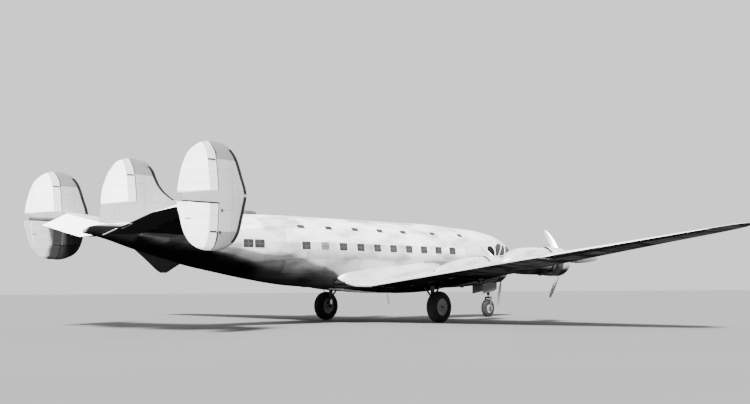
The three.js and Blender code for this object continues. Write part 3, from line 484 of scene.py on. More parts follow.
@dataclass(frozen=True)
class Finish:
    """What every finish has: a name, the record's slot, a grey tone, a roughness and a metalness."""

    name: str
    slot: Slot
    tone: float
    rough: float
    metal: float = 0.0

    def paint(self, nodes: Nodes) -> None:
        """Sets the sockets beyond the constants.

        Args:
            nodes: The material's tree.
        """
        place = nodes.coords("Object")
        cloud = nodes.noise(place, 6.0, 5.0)
        grain = nodes.noise(place, 160.0, 2.0)
        nodes.set("Base Color", nodes.vary(cloud, self.tone * 0.8, self.tone * 1.15))
        nodes.set("Roughness", nodes.vary(cloud, self.rough * 0.85, self.rough * 1.2))
        nodes.set("Specular IOR Level", 0.25)
        nodes.bump(grain, 0.0006, 0.4)

    def material(self) -> bpy.types.Material:
        """Gives the material, made at the first call.

        Returns:
            The material.
        """
        known = bpy.data.materials.get(self.name)
        if known:
            return known
        nodes = Nodes(self.name)
        nodes.set("Metallic", self.metal)
        self.paint(nodes)
        return nodes.material


@dataclass(frozen=True)
class SheetMetal(Finish):
    """Riveted sheets of bare metal: each a little lighter or darker, with seams, rivets and smudges."""

    sheet: Pair = (2.4, 0.9)
    seam: float = 0.012
    rivet: float = 0.09
    contrast: float = 0.12
    # painted shade on faces turned down: its darkest factor at each end of a span range, and that range
    underside_shade: Pair = (0.1, 0.1)
    underside_shade_spans: Pair = (7.0, 10.0)
    wave: float = 0.4
    # whether the painted shade follows the depth that the skin carries, and the painted shade's factor low on
    # the hull's side
    shade_by_depth: bool = False
    low_side_shade: float = 1.0

    def paint(self, nodes: Nodes) -> None:
        """Lays sheets, seams, rivets, smudges and the painted shade underneath.

        Args:
            nodes: The material's tree.
        """
        raw = nodes.skin()
        skin = nodes.stretched(raw, FLAT)
        tone, seams = self._sheets(nodes, skin, self.seam)
        _, band = self._sheets(nodes, skin, self.seam + 0.05)
        dots = nodes.times(self._dots(nodes, skin), band)
        smudge = nodes.noise(nodes.stretched(skin, (0.5, 1.4, 1.0)), 1.1, 6.0)
        brush = nodes.noise(nodes.stretched(skin, (2.0, 14.0, 1.0)), 1.0, 2.0)
        dents = nodes.noise(skin, 1.1, 1.0)
        # painted shade, which also takes away the metal's shine where it is dark
        painted_shade = self._painted_shade(nodes, raw, smudge)
        darkest = 1.0 - self.contrast
        shade = nodes.times(
            nodes.share(nodes.times(tone, tone), 1.0, darkest),
            nodes.fit(smudge, 0.45, 0.68, 1.0, darkest),
            nodes.vary(brush, 0.97, 1.02),
            nodes.share(seams, 1.0, 0.55),
            nodes.share(dots, 1.0, 0.8),
            painted_shade,
            self.tone,
        )
        nodes.set("Base Color", shade)
        nodes.set("Roughness", nodes.plus(nodes.vary(smudge, -0.06, 0.1), self.rough,
                                          nodes.share(tone, 0.05, -0.05)))
        nodes.set("Metallic", nodes.times(painted_shade, self.metal))
        nodes.set("Specular IOR Level", 0.0)
        nodes.bump(nodes.plus(nodes.times(seams, -1.0), nodes.times(dots, 0.7),
                              nodes.times(dents, self.wave)), 0.004, 0.6)

    def _painted_shade(self, nodes: Nodes, raw: object, smudge: object) -> Socket:
        """Gives the painted shade, a factor for the colour: darker below a line or underneath, low on the
        hull's side and on faces turned aft.

        Args:
            nodes: The material's tree.
            raw: The skin's coordinates; the third is the depth below the painted shade's upper line, if it
                has one.
            smudge: A cloudy noise.

        Returns:
            A factor for the colour.
        """
        if self.shade_by_depth:
            # painted shade below its line, and darker low on the hull's side
            depth = nodes.axis("Z", raw)
            depth = nodes.plus(depth, nodes.vary(smudge, -0.12, 0.12))
            near = nodes.fit(depth, -0.1, 0.15, 1.0, 0.3)
            band = nodes.fit(depth, 0.2, 1.0, 1.0, 0.72)
            deep = nodes.math("POWER", 0.03, nodes.fit(depth, 1.0, 2.0, 0.0, 1.0))
            height = nodes.axis("Z", nodes.coords("Object"))
            side = nodes.fit(height, 1.7, 2.0, self.low_side_shade, 1.0)
            return nodes.times(near, band, deep, side)
        # painted shade on faces turned down, darker by span and in streaks, and near black on faces turned
        # aft
        facing = nodes.axis("Z", nodes.coords("Normal"))
        rear = nodes.fit(facing.node.outputs["X"], -0.9, -0.75, 0.02, 1.0)
        facing = nodes.plus(facing, nodes.vary(smudge, -0.08, 0.08))
        dark = nodes.fit(nodes.axis("X", raw), *self.underside_shade_spans, *self.underside_shade)
        streaks = nodes.noise(nodes.stretched(raw, (1.8, 0.25, 0.0)), 1.0, 4.0)
        dark = nodes.times(dark, nodes.fit(streaks, 0.38, 0.62, 0.35, 2.4))
        return nodes.times(nodes.fit(facing, -0.1, -0.6, 1.0, dark), rear)

    def _sheets(self, nodes: Nodes, skin: object, seam: float) -> tuple:
        """Adds one layer of sheets.

        Args:
            nodes: The material's tree.
            skin: The pattern's coordinates.
            seam: The width of the lines between sheets.

        Returns:
            A tone for every sheet, and 1 on the lines.
        """
        inputs = {
            "Vector": skin,
            "Color1": (0, 0, 0, 1),
            "Color2": (1, 1, 1, 1),
            "Mortar": (0.5, 0.5, 0.5, 1),
            "Scale": 1.0,
            "Mortar Size": seam / 2,
            "Mortar Smooth": 0.1,
            "Brick Width": self.sheet[0],
            "Row Height": self.sheet[1],
        }
        tone = nodes.add("TexBrick", "Color", inputs)
        return tone, tone.node.outputs["Fac"]

    def _dots(self, nodes: Nodes, skin: object) -> Socket:
        """Adds a square raster of rivet heads.

        Args:
            nodes: The material's tree.
            skin: The pattern's coordinates.

        Returns:
            1 on a head, and 0 between heads.
        """
        pitch = nodes.stretched(skin, (1 / self.rivet,) * 3)
        raster = nodes.add("VectorMath", 0, {0: pitch}, operation="FRACTION")
        centred = nodes.add("VectorMath", 0, {0: raster, 1: (0.5, 0.5, 0.0)}, operation="SUBTRACT")
        reach = nodes.add("VectorMath", "Value", {0: centred}, operation="LENGTH")
        return nodes.fit(reach, 0.1, 0.16, 1.0, 0.0)


@dataclass(frozen=True)
class Fabric(Finish):
    """Doped fabric over ribs, each rib under a pinked tape, behind a strip of sheet metal."""

    rib: float = 0.42
    # the darkest factor of the painted shade on faces turned down
    underside_shade: float = 0.1
    strip: float = 0.0
    strip_tone: float = 0.7
    # distance behind the front beyond which a painted highlight lifts that shade
    highlight_from: float = 90.0
    # the painted shadow of the tailplane on end fins' inner faces below it: its lighter factor, and how far
    # behind the front the darker part reaches
    inner_shadow: float = 1.0
    shaded: float = 0.9

    def paint(self, nodes: Nodes) -> None:
        """Lays the weave, the tapes, the sag between ribs and the metal strip, with painted shade, highlight
        and shadow.

        Args:
            nodes: The material's tree.
        """
        raw = nodes.skin()
        skin = nodes.stretched(raw, FLAT)
        behind = nodes.axis("Z", raw)
        span = nodes.axis("X", skin)
        phase = nodes.math("FRACT", nodes.math("DIVIDE", span, self.rib))
        away = nodes.math("ABSOLUTE", nodes.math("SUBTRACT", phase, 0.5))
        tape = nodes.fit(away, 0.46, 0.47, 0.0, 1.0)
        sag = nodes.times(away, away, 4.0)
        cloud = nodes.noise(nodes.stretched(skin, (1.0, 0.5, 1.0)), 1.6, 5.0)
        weave = nodes.noise(skin, 140.0, 1.0)
        # painted shade on faces turned down, lifted by a painted highlight near the rear edge
        facing = nodes.axis("Z", nodes.coords("Normal"))
        under = nodes.fit(facing, -0.15, -0.7, 1.0, self.underside_shade)
        under = nodes.math("MAXIMUM", under, nodes.fit(behind, self.highlight_from, self.highlight_from + 0.01, 0.0, 0.8))
        shade = nodes.vary(cloud, self.tone * 0.96, self.tone * 1.03)
        shade = nodes.times(shade, nodes.share(tape, 1.0, 0.95))
        if self.strip:
            ahead = nodes.fit(behind, self.strip, self.strip + 0.015, self.strip_tone, 1.0)
            shade = nodes.times(shade, ahead)
        # painted shadow of the tailplane on inner faces below it, darkest near the front
        if self.inner_shadow < 1.0:
            place = nodes.axis("Y", nodes.coords("Object"))
            out = nodes.axis("Y", nodes.coords("Normal"))
            height = nodes.fit(place.node.outputs["Z"], 2.5, 2.6, 1.0, 0.0)
            inner = nodes.times(nodes.fit(nodes.times(place, out), -2.0, -1.0, 1.0, 0.0), height)
            front = nodes.plus(behind, cloud)
            front = nodes.fit(front, self.shaded, self.shaded + 0.2, self.inner_shadow * 0.12, self.inner_shadow)
            shade = nodes.times(shade, nodes.add("Mix", 0, {0: inner, 2: 1.0, 3: front}))
        nodes.set("Base Color", nodes.times(shade, under))
        nodes.set("Roughness", nodes.vary(cloud, self.rough - 0.05, self.rough + 0.08))
        nodes.set("Specular IOR Level", 0.0)
        nodes.bump(nodes.plus(sag, nodes.times(tape, 0.25), nodes.times(weave, 0.05)), 0.004, 0.7)


@dataclass(frozen=True)
class Glass(Finish):
    """Dark glazing with a clear gloss and faint smears."""

    gloss: float = 0.3

    def paint(self, nodes: Nodes) -> None:
        """Sets the gloss and the smears.

        Args:
            nodes: The material's tree.
        """
        place = nodes.coords("Object")
        smear = nodes.noise(nodes.stretched(place, (2.0, 2.0, 9.0)), 1.5, 4.0)
        nodes.set("IOR", 1.5)
        nodes.set("Specular IOR Level", self.gloss)
        nodes.set("Coat Weight", self.gloss / 3)
        nodes.set("Coat Roughness", 0.05)
        nodes.set("Base Color", nodes.vary(smear, self.tone * 0.6, self.tone * 1.6))
        nodes.set("Roughness", nodes.fit(smear, 0.35, 0.7, self.rough, self.rough + 0.12))


@dataclass(frozen=True)
class Rubber(Finish):
    """Worn rubber, dusty and with a fine grain."""

    def paint(self, nodes: Nodes) -> None:
        """Sets dust and grain.

        Args:
            nodes: The material's tree.
        """
        place = nodes.coords("Object")
        dust = nodes.noise(place, 9.0, 6.0)
        grain = nodes.noise(place, 220.0, 2.0)
        nodes.set("Base Color", nodes.fit(dust, 0.4, 0.75, self.tone, self.tone * 2.2))
        nodes.set("Roughness", nodes.vary(dust, self.rough - 0.1, self.rough + 0.08))
        nodes.set("Specular IOR Level", 0.15)
        nodes.bump(grain, 0.0008, 0.5)


@dataclass(frozen=True)
class Concrete(Finish):
    """The pale floor."""

    def paint(self, nodes: Nodes) -> None:
        """Sets a faint mottle.

        Args:
            nodes: The material's tree.
        """
        place = nodes.coords("Object")
        cloud = nodes.noise(place, 0.35, 6.0)
        nodes.set("Base Color", nodes.vary(cloud, self.tone * 0.96, self.tone * 1.03))
        nodes.set("Roughness", self.rough)


# Painted shade: the hull's belly and lower side, the end fins' inner faces below the tailplane, and faces
# turned down or aft, darkened by the factors given.
SKIN = SheetMetal("fuselage_sheets", Slot.BARE, 1.0, 0.34, 0.45, (2.42, 0.78), contrast=0.5, wave=0.8,
                  shade_by_depth=True, low_side_shade=0.42)
WING_SKIN = SheetMetal("wing_sheets", Slot.BARE, 0.95, 0.34, 0.75, (2.3, 0.86), contrast=0.3,
                       underside_shade=(0.004, 0.045))
TAIL_SKIN = SheetMetal("stabiliser_sheets", Slot.BARE, 0.96, 0.36, 0.75, (1.8, 0.86), contrast=0.28,
                       underside_shade=(0.12, 0.004), underside_shade_spans=(0.95, 1.3))
NACELLE_SKIN = SheetMetal("nacelle_sheets", Slot.BARE, 0.97, 0.32, 0.75, (0.9, 0.7), contrast=0.35,
                          underside_shade=(0.02, 0.02))
DOOR_SKIN = SheetMetal("gear_door_sheets", Slot.BARE, 0.2, 0.4, 0.4, (0.8, 0.6), underside_shade=(0.3, 0.3))
FIN_SKIN = SheetMetal("fin_sheets", Slot.FIN, 0.32, 0.5, 0.3, (1.6, 1.4), contrast=0.12, wave=0.15,
                      shade_by_depth=True)
FIN_CAP = SheetMetal("fin_cap_sheets", Slot.FIN, 0.16, 0.5, 0.3, (1.6, 1.4), contrast=0.05, wave=0.15,
                     shade_by_depth=True)
FIN_DORSAL = SheetMetal("dorsal_sheets", Slot.FIN, 0.6, 0.5, 0.4, (1.6, 1.4), contrast=0.05, wave=0.15)
SKID_SKIN = SheetMetal("skid_sheets", Slot.BARE, 0.03, 0.5, 0.4, (1.1, 0.86))
# Painted highlight along the elevators' rear edge underneath, and painted shadow of the tailplane on the
# rudders' and tabs' inner faces.
DOPE = Fabric("silver_dope", Slot.FABRIC, 0.93, 0.55, 0.1, underside_shade=0.01, highlight_from=1.76)
TAB_DOPE = Fabric("tab_dope", Slot.FABRIC, 0.93, 0.55, 0.1, underside_shade=0.6, inner_shadow=0.4, shaded=-9.0)
RUDDER_DOPE = Fabric("rudder_dope", Slot.FABRIC, 0.93, 0.55, 0.1, underside_shade=0.6, strip=0.37, strip_tone=0.5,
                     inner_shadow=0.4)
SEALANT = Rubber("gap_seal", Slot.DARK, 0.02, 0.7)
BOOT = Rubber("boot_rubber", Slot.DARK, 0.006, 0.6)
TYRE = Rubber("tyre_rubber", Slot.TYRE, 0.012, 0.8)
GLASS = Glass("dark_glass", Slot.GLAZING, 0.003, 0.08, gloss=0.06)
CABIN_GLASS = Glass("cabin_glass", Slot.GLAZING, 0.018, 0.3)
SCREEN = Glass("windscreen_glass", Slot.GLAZING, 0.018, 0.15, gloss=0.12)
SMOKED = Glass("smoked_glass", Slot.GLAZING, 0.05, 0.12)
BLIND = Finish("window_blind", Slot.FABRIC, 0.11, 0.8)
MULLION = Finish("window_cross", Slot.FABRIC, 0.04, 0.7)
GASKET = Finish("window_frame", Slot.BARE, 0.8, 0.4, 0.6)
ENAMEL = Finish("grey_enamel", Slot.GEAR, 0.045, 0.4)
CHROME = Finish("oleo_chrome", Slot.GEAR, 0.5, 0.15, 1.0)
HUB_PAINT = Finish("hub_paint", Slot.GEAR, 0.2, 0.45, 0.2)
BLADE = Finish("blade_metal", Slot.BLADE, 1.0, 0.4, 0.15)
CASTING = Finish("dark_casting", Slot.ENGINE, 0.1, 0.5, 0.7)
FINS = Finish("cylinder_fins", Slot.ENGINE, 0.16, 0.45, 0.8)
SOOT = Finish("sooty_steel", Slot.ENGINE, 0.05, 0.6, 0.6)
DARK = Finish("dark_resin", Slot.DARK, 0.05, 0.5)
LINING = Finish("cabin_lining", Slot.DARK, 0.1, 0.8)
FLOOR = Concrete("pale_floor", Slot.DARK, 0.11, 0.95)


# Meshes
def to_model(place: Vector) -> Vector:
    """Gives the model's place of one on the full-size airliner."""
    return (place - MIDDLE) * MODEL_SCALE


class Shell:
    """Points, faces and pattern coordinates of one mesh in the making."""

    def __init__(self) -> None:
        """Starts an empty mesh."""
        self.points: list[Vector] = []
        self.skin: list[tuple[float, float, float]] = []
        self.faces: list[tuple[int, ...]] = []

    def add(self, place: Vector, across: float = 0.0, along: float = 0.0, depth: float = 0.0) -> int:
        """Adds a point.

        Args:
            place: Station, distance to the left and height.
            across: First coordinate of the pattern.
            along: Second coordinate of the pattern.
            depth: How far it lies below or behind a line that the finish changes at.

        Returns:
            The point's number.
        """
        self.points.append(Vector(place))
        self.skin.append((across, along, depth))
        return len(self.points) - 1

    def face(self, *corners: int) -> None:
        """Adds a face, unless fewer than three of its corners lie apart.

        Args:
            corners: The numbers of its points.
        """
        kept = []
        for corner in corners:
            if all((self.points[corner] - self.points[other]).length > 1e-5 for other in kept):
                kept.append(corner)
        if len(kept) > 2:
            self.faces.append(tuple(kept))

    def bridge(self, one: Sequence[int], other: Sequence[int], closed: bool = False) -> None:
        """Adds quads between two rows of points.

        Args:
            one: The first row.
            other: The second row, as long as the first.
            closed: Whether the rows are rings.
        """
        count = len(one)
        for i in range(count if closed else count - 1):
            j = (i + 1) % count
            self.face(one[i], one[j], other[j], other[i])

    def sheet(self, rows: Sequence[Sequence[int]], closed: bool = False) -> None:
        """Bridges every row of points to the next."""
        for one, other in zip(rows, rows[1:]):
            self.bridge(one, other, closed)

    def lid(self, ring: Sequence[Vector]) -> None:
        """Adds a face with points of its own."""
        self.face(*[self.add(p) for p in ring])

    def rings(self, rows: Sequence[Sequence[Vector]], cap: bool = True) -> None:
        """Adds a tube through rings of points.

        Args:
            rows: The rings, of equally many points.
            cap: Whether the end rings are closed.
        """
        made = []
        walk = 0.0
        for k, row in enumerate(rows):
            walk += (row[0] - rows[k - 1][0]).length if k else 0.0
            girth = sum((row[i] - row[i - 1]).length for i in range(len(row)))
            made.append([self.add(p, walk, girth * i / len(row)) for i, p in enumerate(row)])
        self.sheet(made, True)
        if cap:
            self.face(*made[0])
            self.face(*reversed(made[-1]))

    def lathe(self, origin: Vector, axis: Vector, profile: Sequence[tuple[float, float]], sides: int,
              cap: bool = True) -> None:
        """Turns a profile about an axis.

        Args:
            origin: The place on the axis that distances count from.
            axis: The axis' direction.
            profile: Distances along the axis, each with a radius.
            sides: How many sides the body gets.
            cap: Whether the ends are closed.
        """
        forward = axis.normalized()
        one = forward.orthogonal().normalized()
        two = forward.cross(one)
        outs = [one * math.cos(a) + two * math.sin(a) for a in full_turn(sides)]
        self.rings([[origin + forward * d + out * r for out in outs] for d, r in profile], cap)

    def collar(self, start: Vector, axis: Vector, radius: float, length: float, sides: int) -> None:
        """Adds a chamfered collar round a tube.

        Args:
            start: Where its axis starts.
            axis: The axis' direction.
            radius: Its radius.
            length: Its length.
            sides: How many sides it gets.
        """
        foot = radius - 0.015
        profile = [(0.0, foot), (0.01, radius), (length - 0.01, radius), (length, foot)]
        self.lathe(start, axis, profile, sides)

    def bar(self, start: Vector, end: Vector, radius: float, end_radius: float | None = None,
            sides: int = 12) -> None:
        """Adds a round bar with small chamfers.

        Args:
            start: One end of its axis.
            end: The other end.
            radius: Its radius at the start.
            end_radius: Its radius at the end, if another.
            sides: How many sides it gets.
        """
        last = radius if end_radius is None else end_radius
        length = (end - start).length
        edge = min(0.15 * min(radius, last), length / 4)
        profile = [(0.0, radius - edge), (edge, radius), (length - edge, last), (length, last - edge)]
        self.lathe(start, end - start, profile, sides)

    def tube(self, path: Sequence[Vector], radius: float, sides: int = 8) -> None:
        """Adds a round tube along a path.

        Args:
            path: The points that it follows.
            radius: Its radius.
            sides: How many sides it gets.
        """
        rows = []
        normal = (path[1] - path[0]).orthogonal().normalized()
        for i, here in enumerate(path):
            ahead = path[min(i + 1, len(path) - 1)] - path[max(i - 1, 0)]
            side = ahead.cross(normal).normalized()
            normal = side.cross(ahead).normalized()
            turns = full_turn(sides)
            rows.append([here + (side * math.cos(a) + normal * math.sin(a)) * radius for a in turns])
        self.rings(rows)

    def block(self, low: Vector, high: Vector, edge: float = 0.0) -> None:
        """Adds a box whose edges along the height are cut back.

        Args:
            low: Its lowest corner.
            high: Its highest corner.
            edge: How far the corners are cut.
        """
        outline = [
            (low.x + edge, low.y), (high.x - edge, low.y), (high.x, low.y + edge), (high.x, high.y - edge),
            (high.x - edge, high.y), (low.x + edge, high.y), (low.x, high.y - edge), (low.x, low.y + edge),
        ]
        self.rings([[Vector((x, y, z)) for x, y in outline] for z in (low.z, high.z)])

    def piece(self, name: str, finish: Finish, body: str = AIRFRAME, replaces: Sequence[str] = (),
              crease: float = 32.0) -> bpy.types.Object:
        """Makes the object, dresses it and fixes it to its body.

        Args:
            name: The object's name.
            finish: Its finish.
            body: The body that it rides on.
            replaces: The nodes that it stands for.
            crease: Edges turning by more than this many degrees stay sharp.

        Returns:
            The object.
        """
        mesh = bpy.data.meshes.new(name)
        mesh.from_pydata([to_model(p) for p in self.points], [], self.faces)
        layer = mesh.attributes.new("skin", "FLOAT_VECTOR", "POINT")
        layer.data.foreach_set("vector", [value for place in self.skin for value in place])
        work = bmesh.new()
        work.from_mesh(mesh)
        bmesh.ops.remove_doubles(work, verts=work.verts, dist=2e-5)
        bmesh.ops.recalc_face_normals(work, faces=work.faces)
        work.to_mesh(mesh)
        work.free()
        mesh.polygons.foreach_set("use_smooth", [True] * len(mesh.polygons))
        mesh.set_sharp_from_angle(angle=math.radians(crease))
        mesh.materials.append(finish.material())
        made = bpy.data.objects.new(name, mesh)
        bpy.context.scene.collection.objects.link(made)
        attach(made, body)
        if replaces:
            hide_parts(*replaces)
        triangles = sum(len(face) - 2 for face in self.faces)
        LOG.info("%s: %d triangles on %s", name, triangles, body)
        return made


def redress(node: str, finish: Finish) -> None:
    """Gives a CAD node's object a finish.

    Args:
        node: The node's name.
        finish: The finish that it gets.
    """
    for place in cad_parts[node].material_slots:
        place.link = "OBJECT"
        place.material = finish.material()


# Fuselage
@dataclass(frozen=True)
class WindowRow:
    """A row of like windows: the stations of their middles, their width, and lowest and highest edge."""

    name: str
    stations: tuple[float, ...]
    width: float
    low: float
    high: float
    corner: float
    blinds: tuple[int, ...] = ()


class Hull:
    """The fuselage's outer form."""

    def __init__(self) -> None:
        """Reads the rows."""
        self.rows = Curve(FUSELAGE_ROWS)
        self.belly_shade = Curve(BELLY_SHADE_ROWS)

    def painted_shade(self, place: Vector) -> float:
        """Gives how deep a point lies in the shade and reflection painted on the hull's belly.

        Args:
            place: A point of the skin.

        Returns:
            0 at the painted shade's upper line, 1 where it turns dark and 2 where it is black.
        """
        line, dark, black = self.belly_shade.at(place.x)
        if place.z > dark:
            return (line - place.z) / (line - dark)
        return 1.0 + (dark - place.z) / (dark - black)

    def section(self, station: float) -> tuple[float, float, float]:
        """Gives the middle height, half height and half width at a station."""
        top, bottom, half_width = self.rows.at(station)
        return (top + bottom) / 2, (top - bottom) / 2, half_width

    def at_angle(self, station: float, angle: float, lift: float = 0.0) -> Vector:
        """Gives a point of the skin by its angle from the left side, upward."""
        middle, half, width = self.section(station)
        return Vector((station, (width + lift) * math.cos(angle), middle + (half + lift) * math.sin(angle)))

    def at_height(self, station: float, height: float, side: Side, lift: float = 0.0) -> Vector:
        """Gives a point of the skin by its height.

        Args:
            station: The point's station.
            height: Its height, held within the section.
            side: The side that it lies on.
            lift: How far it stands off the skin.

        Returns:
            The point.
        """
        middle, half, width = self.section(station)
        lean = held((height - middle) / half, -1.0, 1.0)
        flat = math.sqrt(max(0.0, 1.0 - lean * lean))
        normal = Vector((0.0, flat / width, lean / half)).normalized()
        place = Vector((station, side.value * width * flat, middle + half * lean))
        return place + Vector((0.0, side.value * normal.y, normal.z)) * lift


@dataclass
class Fuselage:
    """Skin, windows, cockpit, cabin and door."""

    hull: Hull
    step: float = 0.3
    # stations of the door's rear and front edge, heights of its sill and head
    door: tuple[float, float, float, float] = (8.5, 9.4, 2.95, 4.7)
    wall: float = 0.08
    gap: float = 0.014
    cabin: Pair = (1.9, 24.0)
    # how far ahead of the cabin's rear end the floor starts
    floor_room: float = 3.0
    # stations where the rings start to keep to sill and head, do so, start to stop and have stopped
    door_zone: tuple[float, float, float, float] = (6.0, 7.5, 11.0, 13.0)
    # angles of a ring's marks on the left side, and how many steps go between them
    angles: tuple[float, ...] = (math.pi / 2, 0.55, -0.5, -math.pi / 2)
    counts: tuple[int, int, int] = (11, 10, 12)
    # heights of the door's hinges, their pins' place to the left and radius, and their plates' sides
    knuckles: Pair = (3.46, 4.06)
    pin: Pair = (1.59, 0.018)
    leaf: Pair = (1.49, 1.598)
    # the jack pad's station, top and foot
    jack: tuple[float, float, float] = (24.6, 1.95, 1.8)

    def __post_init__(self) -> None:
        """Lists the rows of windows."""
        self.windows = (
            WindowRow("cabin", tuple(10.84 + 1.212 * k for k in range(10)), 0.54, 3.68, 4.06, 0.05, (1,)),
            WindowRow("aft", (7.52, 8.13), 0.54, 3.7, 4.08, 0.05),
            WindowRow("berth", (10.8, 12.61, 14.44, 16.25, 18.07, 20.46, 22.92), 0.45, 4.73, 4.89, 0.03),
        )

    def build(self) -> None:
        """Builds all pieces of the fuselage."""
        self.skin()
        self.lining()
        self.floor()
        self.passenger_door()
        for row in self.windows:
            self.window_row(row)
        self.cockpit()
        self.fittings()

    def _ring(self, station: float, lift: float = 0.0) -> tuple[list[Vector], list[float]]:
        """Gives a ring of the skin whose points keep to the door's sill and head where they can.

        Args:
            station: The ring's station.
            lift: How far it stands off the skin.

        Returns:
            The points, from the left side's top down and round, and their way round the hull.
        """
        middle, half, width = self.hull.section(station)
        _, _, sill, head = self.door
        start, full, last, end = self.door_zone
        hold = held((station - start) / (full - start)) * held((end - station) / (end - last))
        marks = list(self.angles)
        for index, height in ((1, head), (2, sill)):
            lean = held((height - middle) / half, -0.98, 0.98)
            marks[index] = mix(marks[index], math.asin(lean), hold)
        angles = []
        for (high, low), count in zip(zip(marks, marks[1:]), self.counts):
            angles += spread(high, low, count)[:-1]
        angles.append(marks[-1])
        ring = [self.hull.at_angle(station, a, lift) for a in angles]
        ring += [Vector((p.x, -p.y, p.z)) for p in reversed(ring[1:-1])]
        around = [(half + width) / 2 * (math.pi / 2 - a) for a in angles]
        around += [-value for value in reversed(around[1:-1])]
        return ring, around

    def _shell(self, stations: Sequence[float], lift: float) -> Shell:
        """Builds a skin with the doorway left open.

        Args:
            stations: The stations of its rings.
            lift: How far it stands off the hull.

        Returns:
            The skin, open at its ends.
        """
        shell = Shell()
        rows = []
        for station in stations:
            ring, around = self._ring(station, lift)
            # the third pattern coordinate is the depth in the painted shade on the belly
            rows.append([shell.add(p, station, a, self.hull.painted_shade(p)) for p, a in zip(ring, around)])
        aft, front, _, _ = self.door
        above, beside, _ = self.counts
        for (low, one), (high, other) in zip(zip(stations, rows), zip(stations[1:], rows[1:])):
            inside = aft <= (low + high) / 2 <= front
            for i in range(len(one)):
                j = (i + 1) % len(one)
                if not (inside and above <= i < above + beside):
                    shell.face(one[i], one[j], other[j], other[i])
        return shell

    def skin(self) -> None:
        """Builds the outer skin with its doorway."""
        marks = [row[0] for row in FUSELAGE_ROWS] + list(self.door[:2]) + [29.5, 29.7]
        stations = between(marks, self.step)
        shell = self._shell(stations, 0.0)
        for station in (stations[0], stations[-1]):
            shell.lid(self._ring(station)[0])
        shell.piece("fuselage_skin", SKIN, replaces=["fuselage"])

    def lining(self) -> None:
        """Builds the cabin's inside and the doorway's frame."""
        start, end = self.cabin
        shell = self._shell(between([start, *self.door[:2], end], 0.6), -self.wall)
        for station in (start, end):
            shell.lid(self._ring(station, -self.wall)[0])
        shell.piece("cabin_lining", LINING)
        aft, front, sill, head = self.door
        frame_shell = Shell()
        around = [(aft, z) for z in spread(sill, head, 10)]
        around += [(x, head) for x in spread(aft, front, 4)[1:]]
        around += [(front, z) for z in spread(head, sill, 10)[1:]]
        around += [(x, sill) for x in spread(front, aft, 4)[1:-1]]
        rows = [
            [frame_shell.add(self.hull.at_height(x, z, Side.LEFT, lift)) for x, z in around]
            for lift in (0.0, -self.wall)
        ]
        frame_shell.bridge(rows[0], rows[1], True)
        frame_shell.piece("doorway_frame", ENAMEL)

    def floor(self) -> None:
        """Builds the cabin's floor."""
        floor = Shell()
        start, end = self.cabin
        height = self.door[2] - 0.05
        for station in between([start + self.floor_room, end], 1.0):
            middle, half, width = self.hull.section(station)
            lean = (height - middle) / (half - self.wall)
            reach = (width - self.wall) * math.sqrt(max(0.04, 1 - lean * lean)) - 0.02
            floor.add(Vector((station, -reach, height)), station, 0.0)
            floor.add(Vector((station, reach, height)), station, 2 * reach)
        for i in range(0, len(floor.points) - 2, 2):
            floor.face(i, i + 1, i + 3, i + 2)
        floor.piece("cabin_floor", LINING)

    def passenger_door(self) -> None:
        """Builds the door with its half of the two hinges, and its fittings."""
        aft, front, sill, head = self.door
        shell = Shell()
        stations = spread(aft + self.gap, front - self.gap, 6)
        heights = spread(sill + self.gap, head - self.gap, 14)
        sheets = []
        for lift, inset in ((0.0, 0.0), (-self.wall, 0.055)):
            sheet = []
            for x in stations:
                station = x + inset * (front - self.gap - x) / (front - aft)
                column = [self.hull.at_height(station, z, Side.LEFT, lift) for z in heights]
                # the third pattern coordinate is the depth in the painted shade on the belly
                sheet.append([shell.add(p, station, p.z, self.hull.painted_shade(p)) for p in column])
            shell.sheet(sheet)
            sheets.append(sheet)
        outer, inner = sheets
        for i in (0, -1):
            shell.bridge(outer[i], inner[i])
            shell.bridge([row[i] for row in outer], [row[i] for row in inner])
        body = "passenger_door_body"
        for z in self.knuckles:
            self._leaf(shell, (z - 0.04, z + 0.04), (z - 0.038, z + 0.038), (-0.11, -0.01), 0.006)
        shell.piece("door_panel", SKIN, body, ["passenger_door"])
        self.door_fittings(body)

    def _leaf(self, shell: Shell, knuckle: Pair, plate: Pair, ahead: Pair, edge: float) -> None:
        """Adds one half of a door hinge: a knuckle on the hinge line and its plate.

        Args:
            shell: The mesh that it goes into.
            knuckle: The knuckle's lowest and highest point.
            plate: The plate's lowest and highest point.
            ahead: How far ahead of the hinge line the plate starts and ends.
            edge: How far the plate's corners are cut.
        """
        front = self.door[1]
        left, radius = self.pin
        shell.bar(Vector((front, left, knuckle[0])), Vector((front, left, knuckle[1])), radius)
        low = Vector((front + ahead[0], self.leaf[0], plate[0]))
        shell.block(low, Vector((front + ahead[1], self.leaf[1], plate[1])), edge)

    def door_fittings(self, body: str) -> None:
        """Builds the door's handle and window, and the lugs that carry it.

        Args:
            body: The door's body.
        """
        aft, front, _, _ = self.door
        handle = Shell()
        spot = self.hull.at_height(aft + 0.16, 3.75, Side.LEFT)
        handle.bar(spot, spot + Vector((0.0, 0.045, 0.0)), 0.03)
        handle.bar(spot + Vector((-0.01, 0.035, 0.0)), spot + Vector((0.15, 0.035, 0.0)), 0.014, 0.01)
        handle.piece("door_handle", CHROME, body)
        self.window_row(WindowRow("door", ((aft + front) / 2,), 0.42, 3.72, 4.06, 0.06), (Side.LEFT,), body)
        lugs = Shell()
        for z in self.knuckles:
            for ends in ((z - 0.06, z - 0.042), (z + 0.042, z + 0.06)):
                self._leaf(lugs, ends, ends, (0.004, 0.07), 0.004)
        lugs.piece("door_lugs", SKIN)

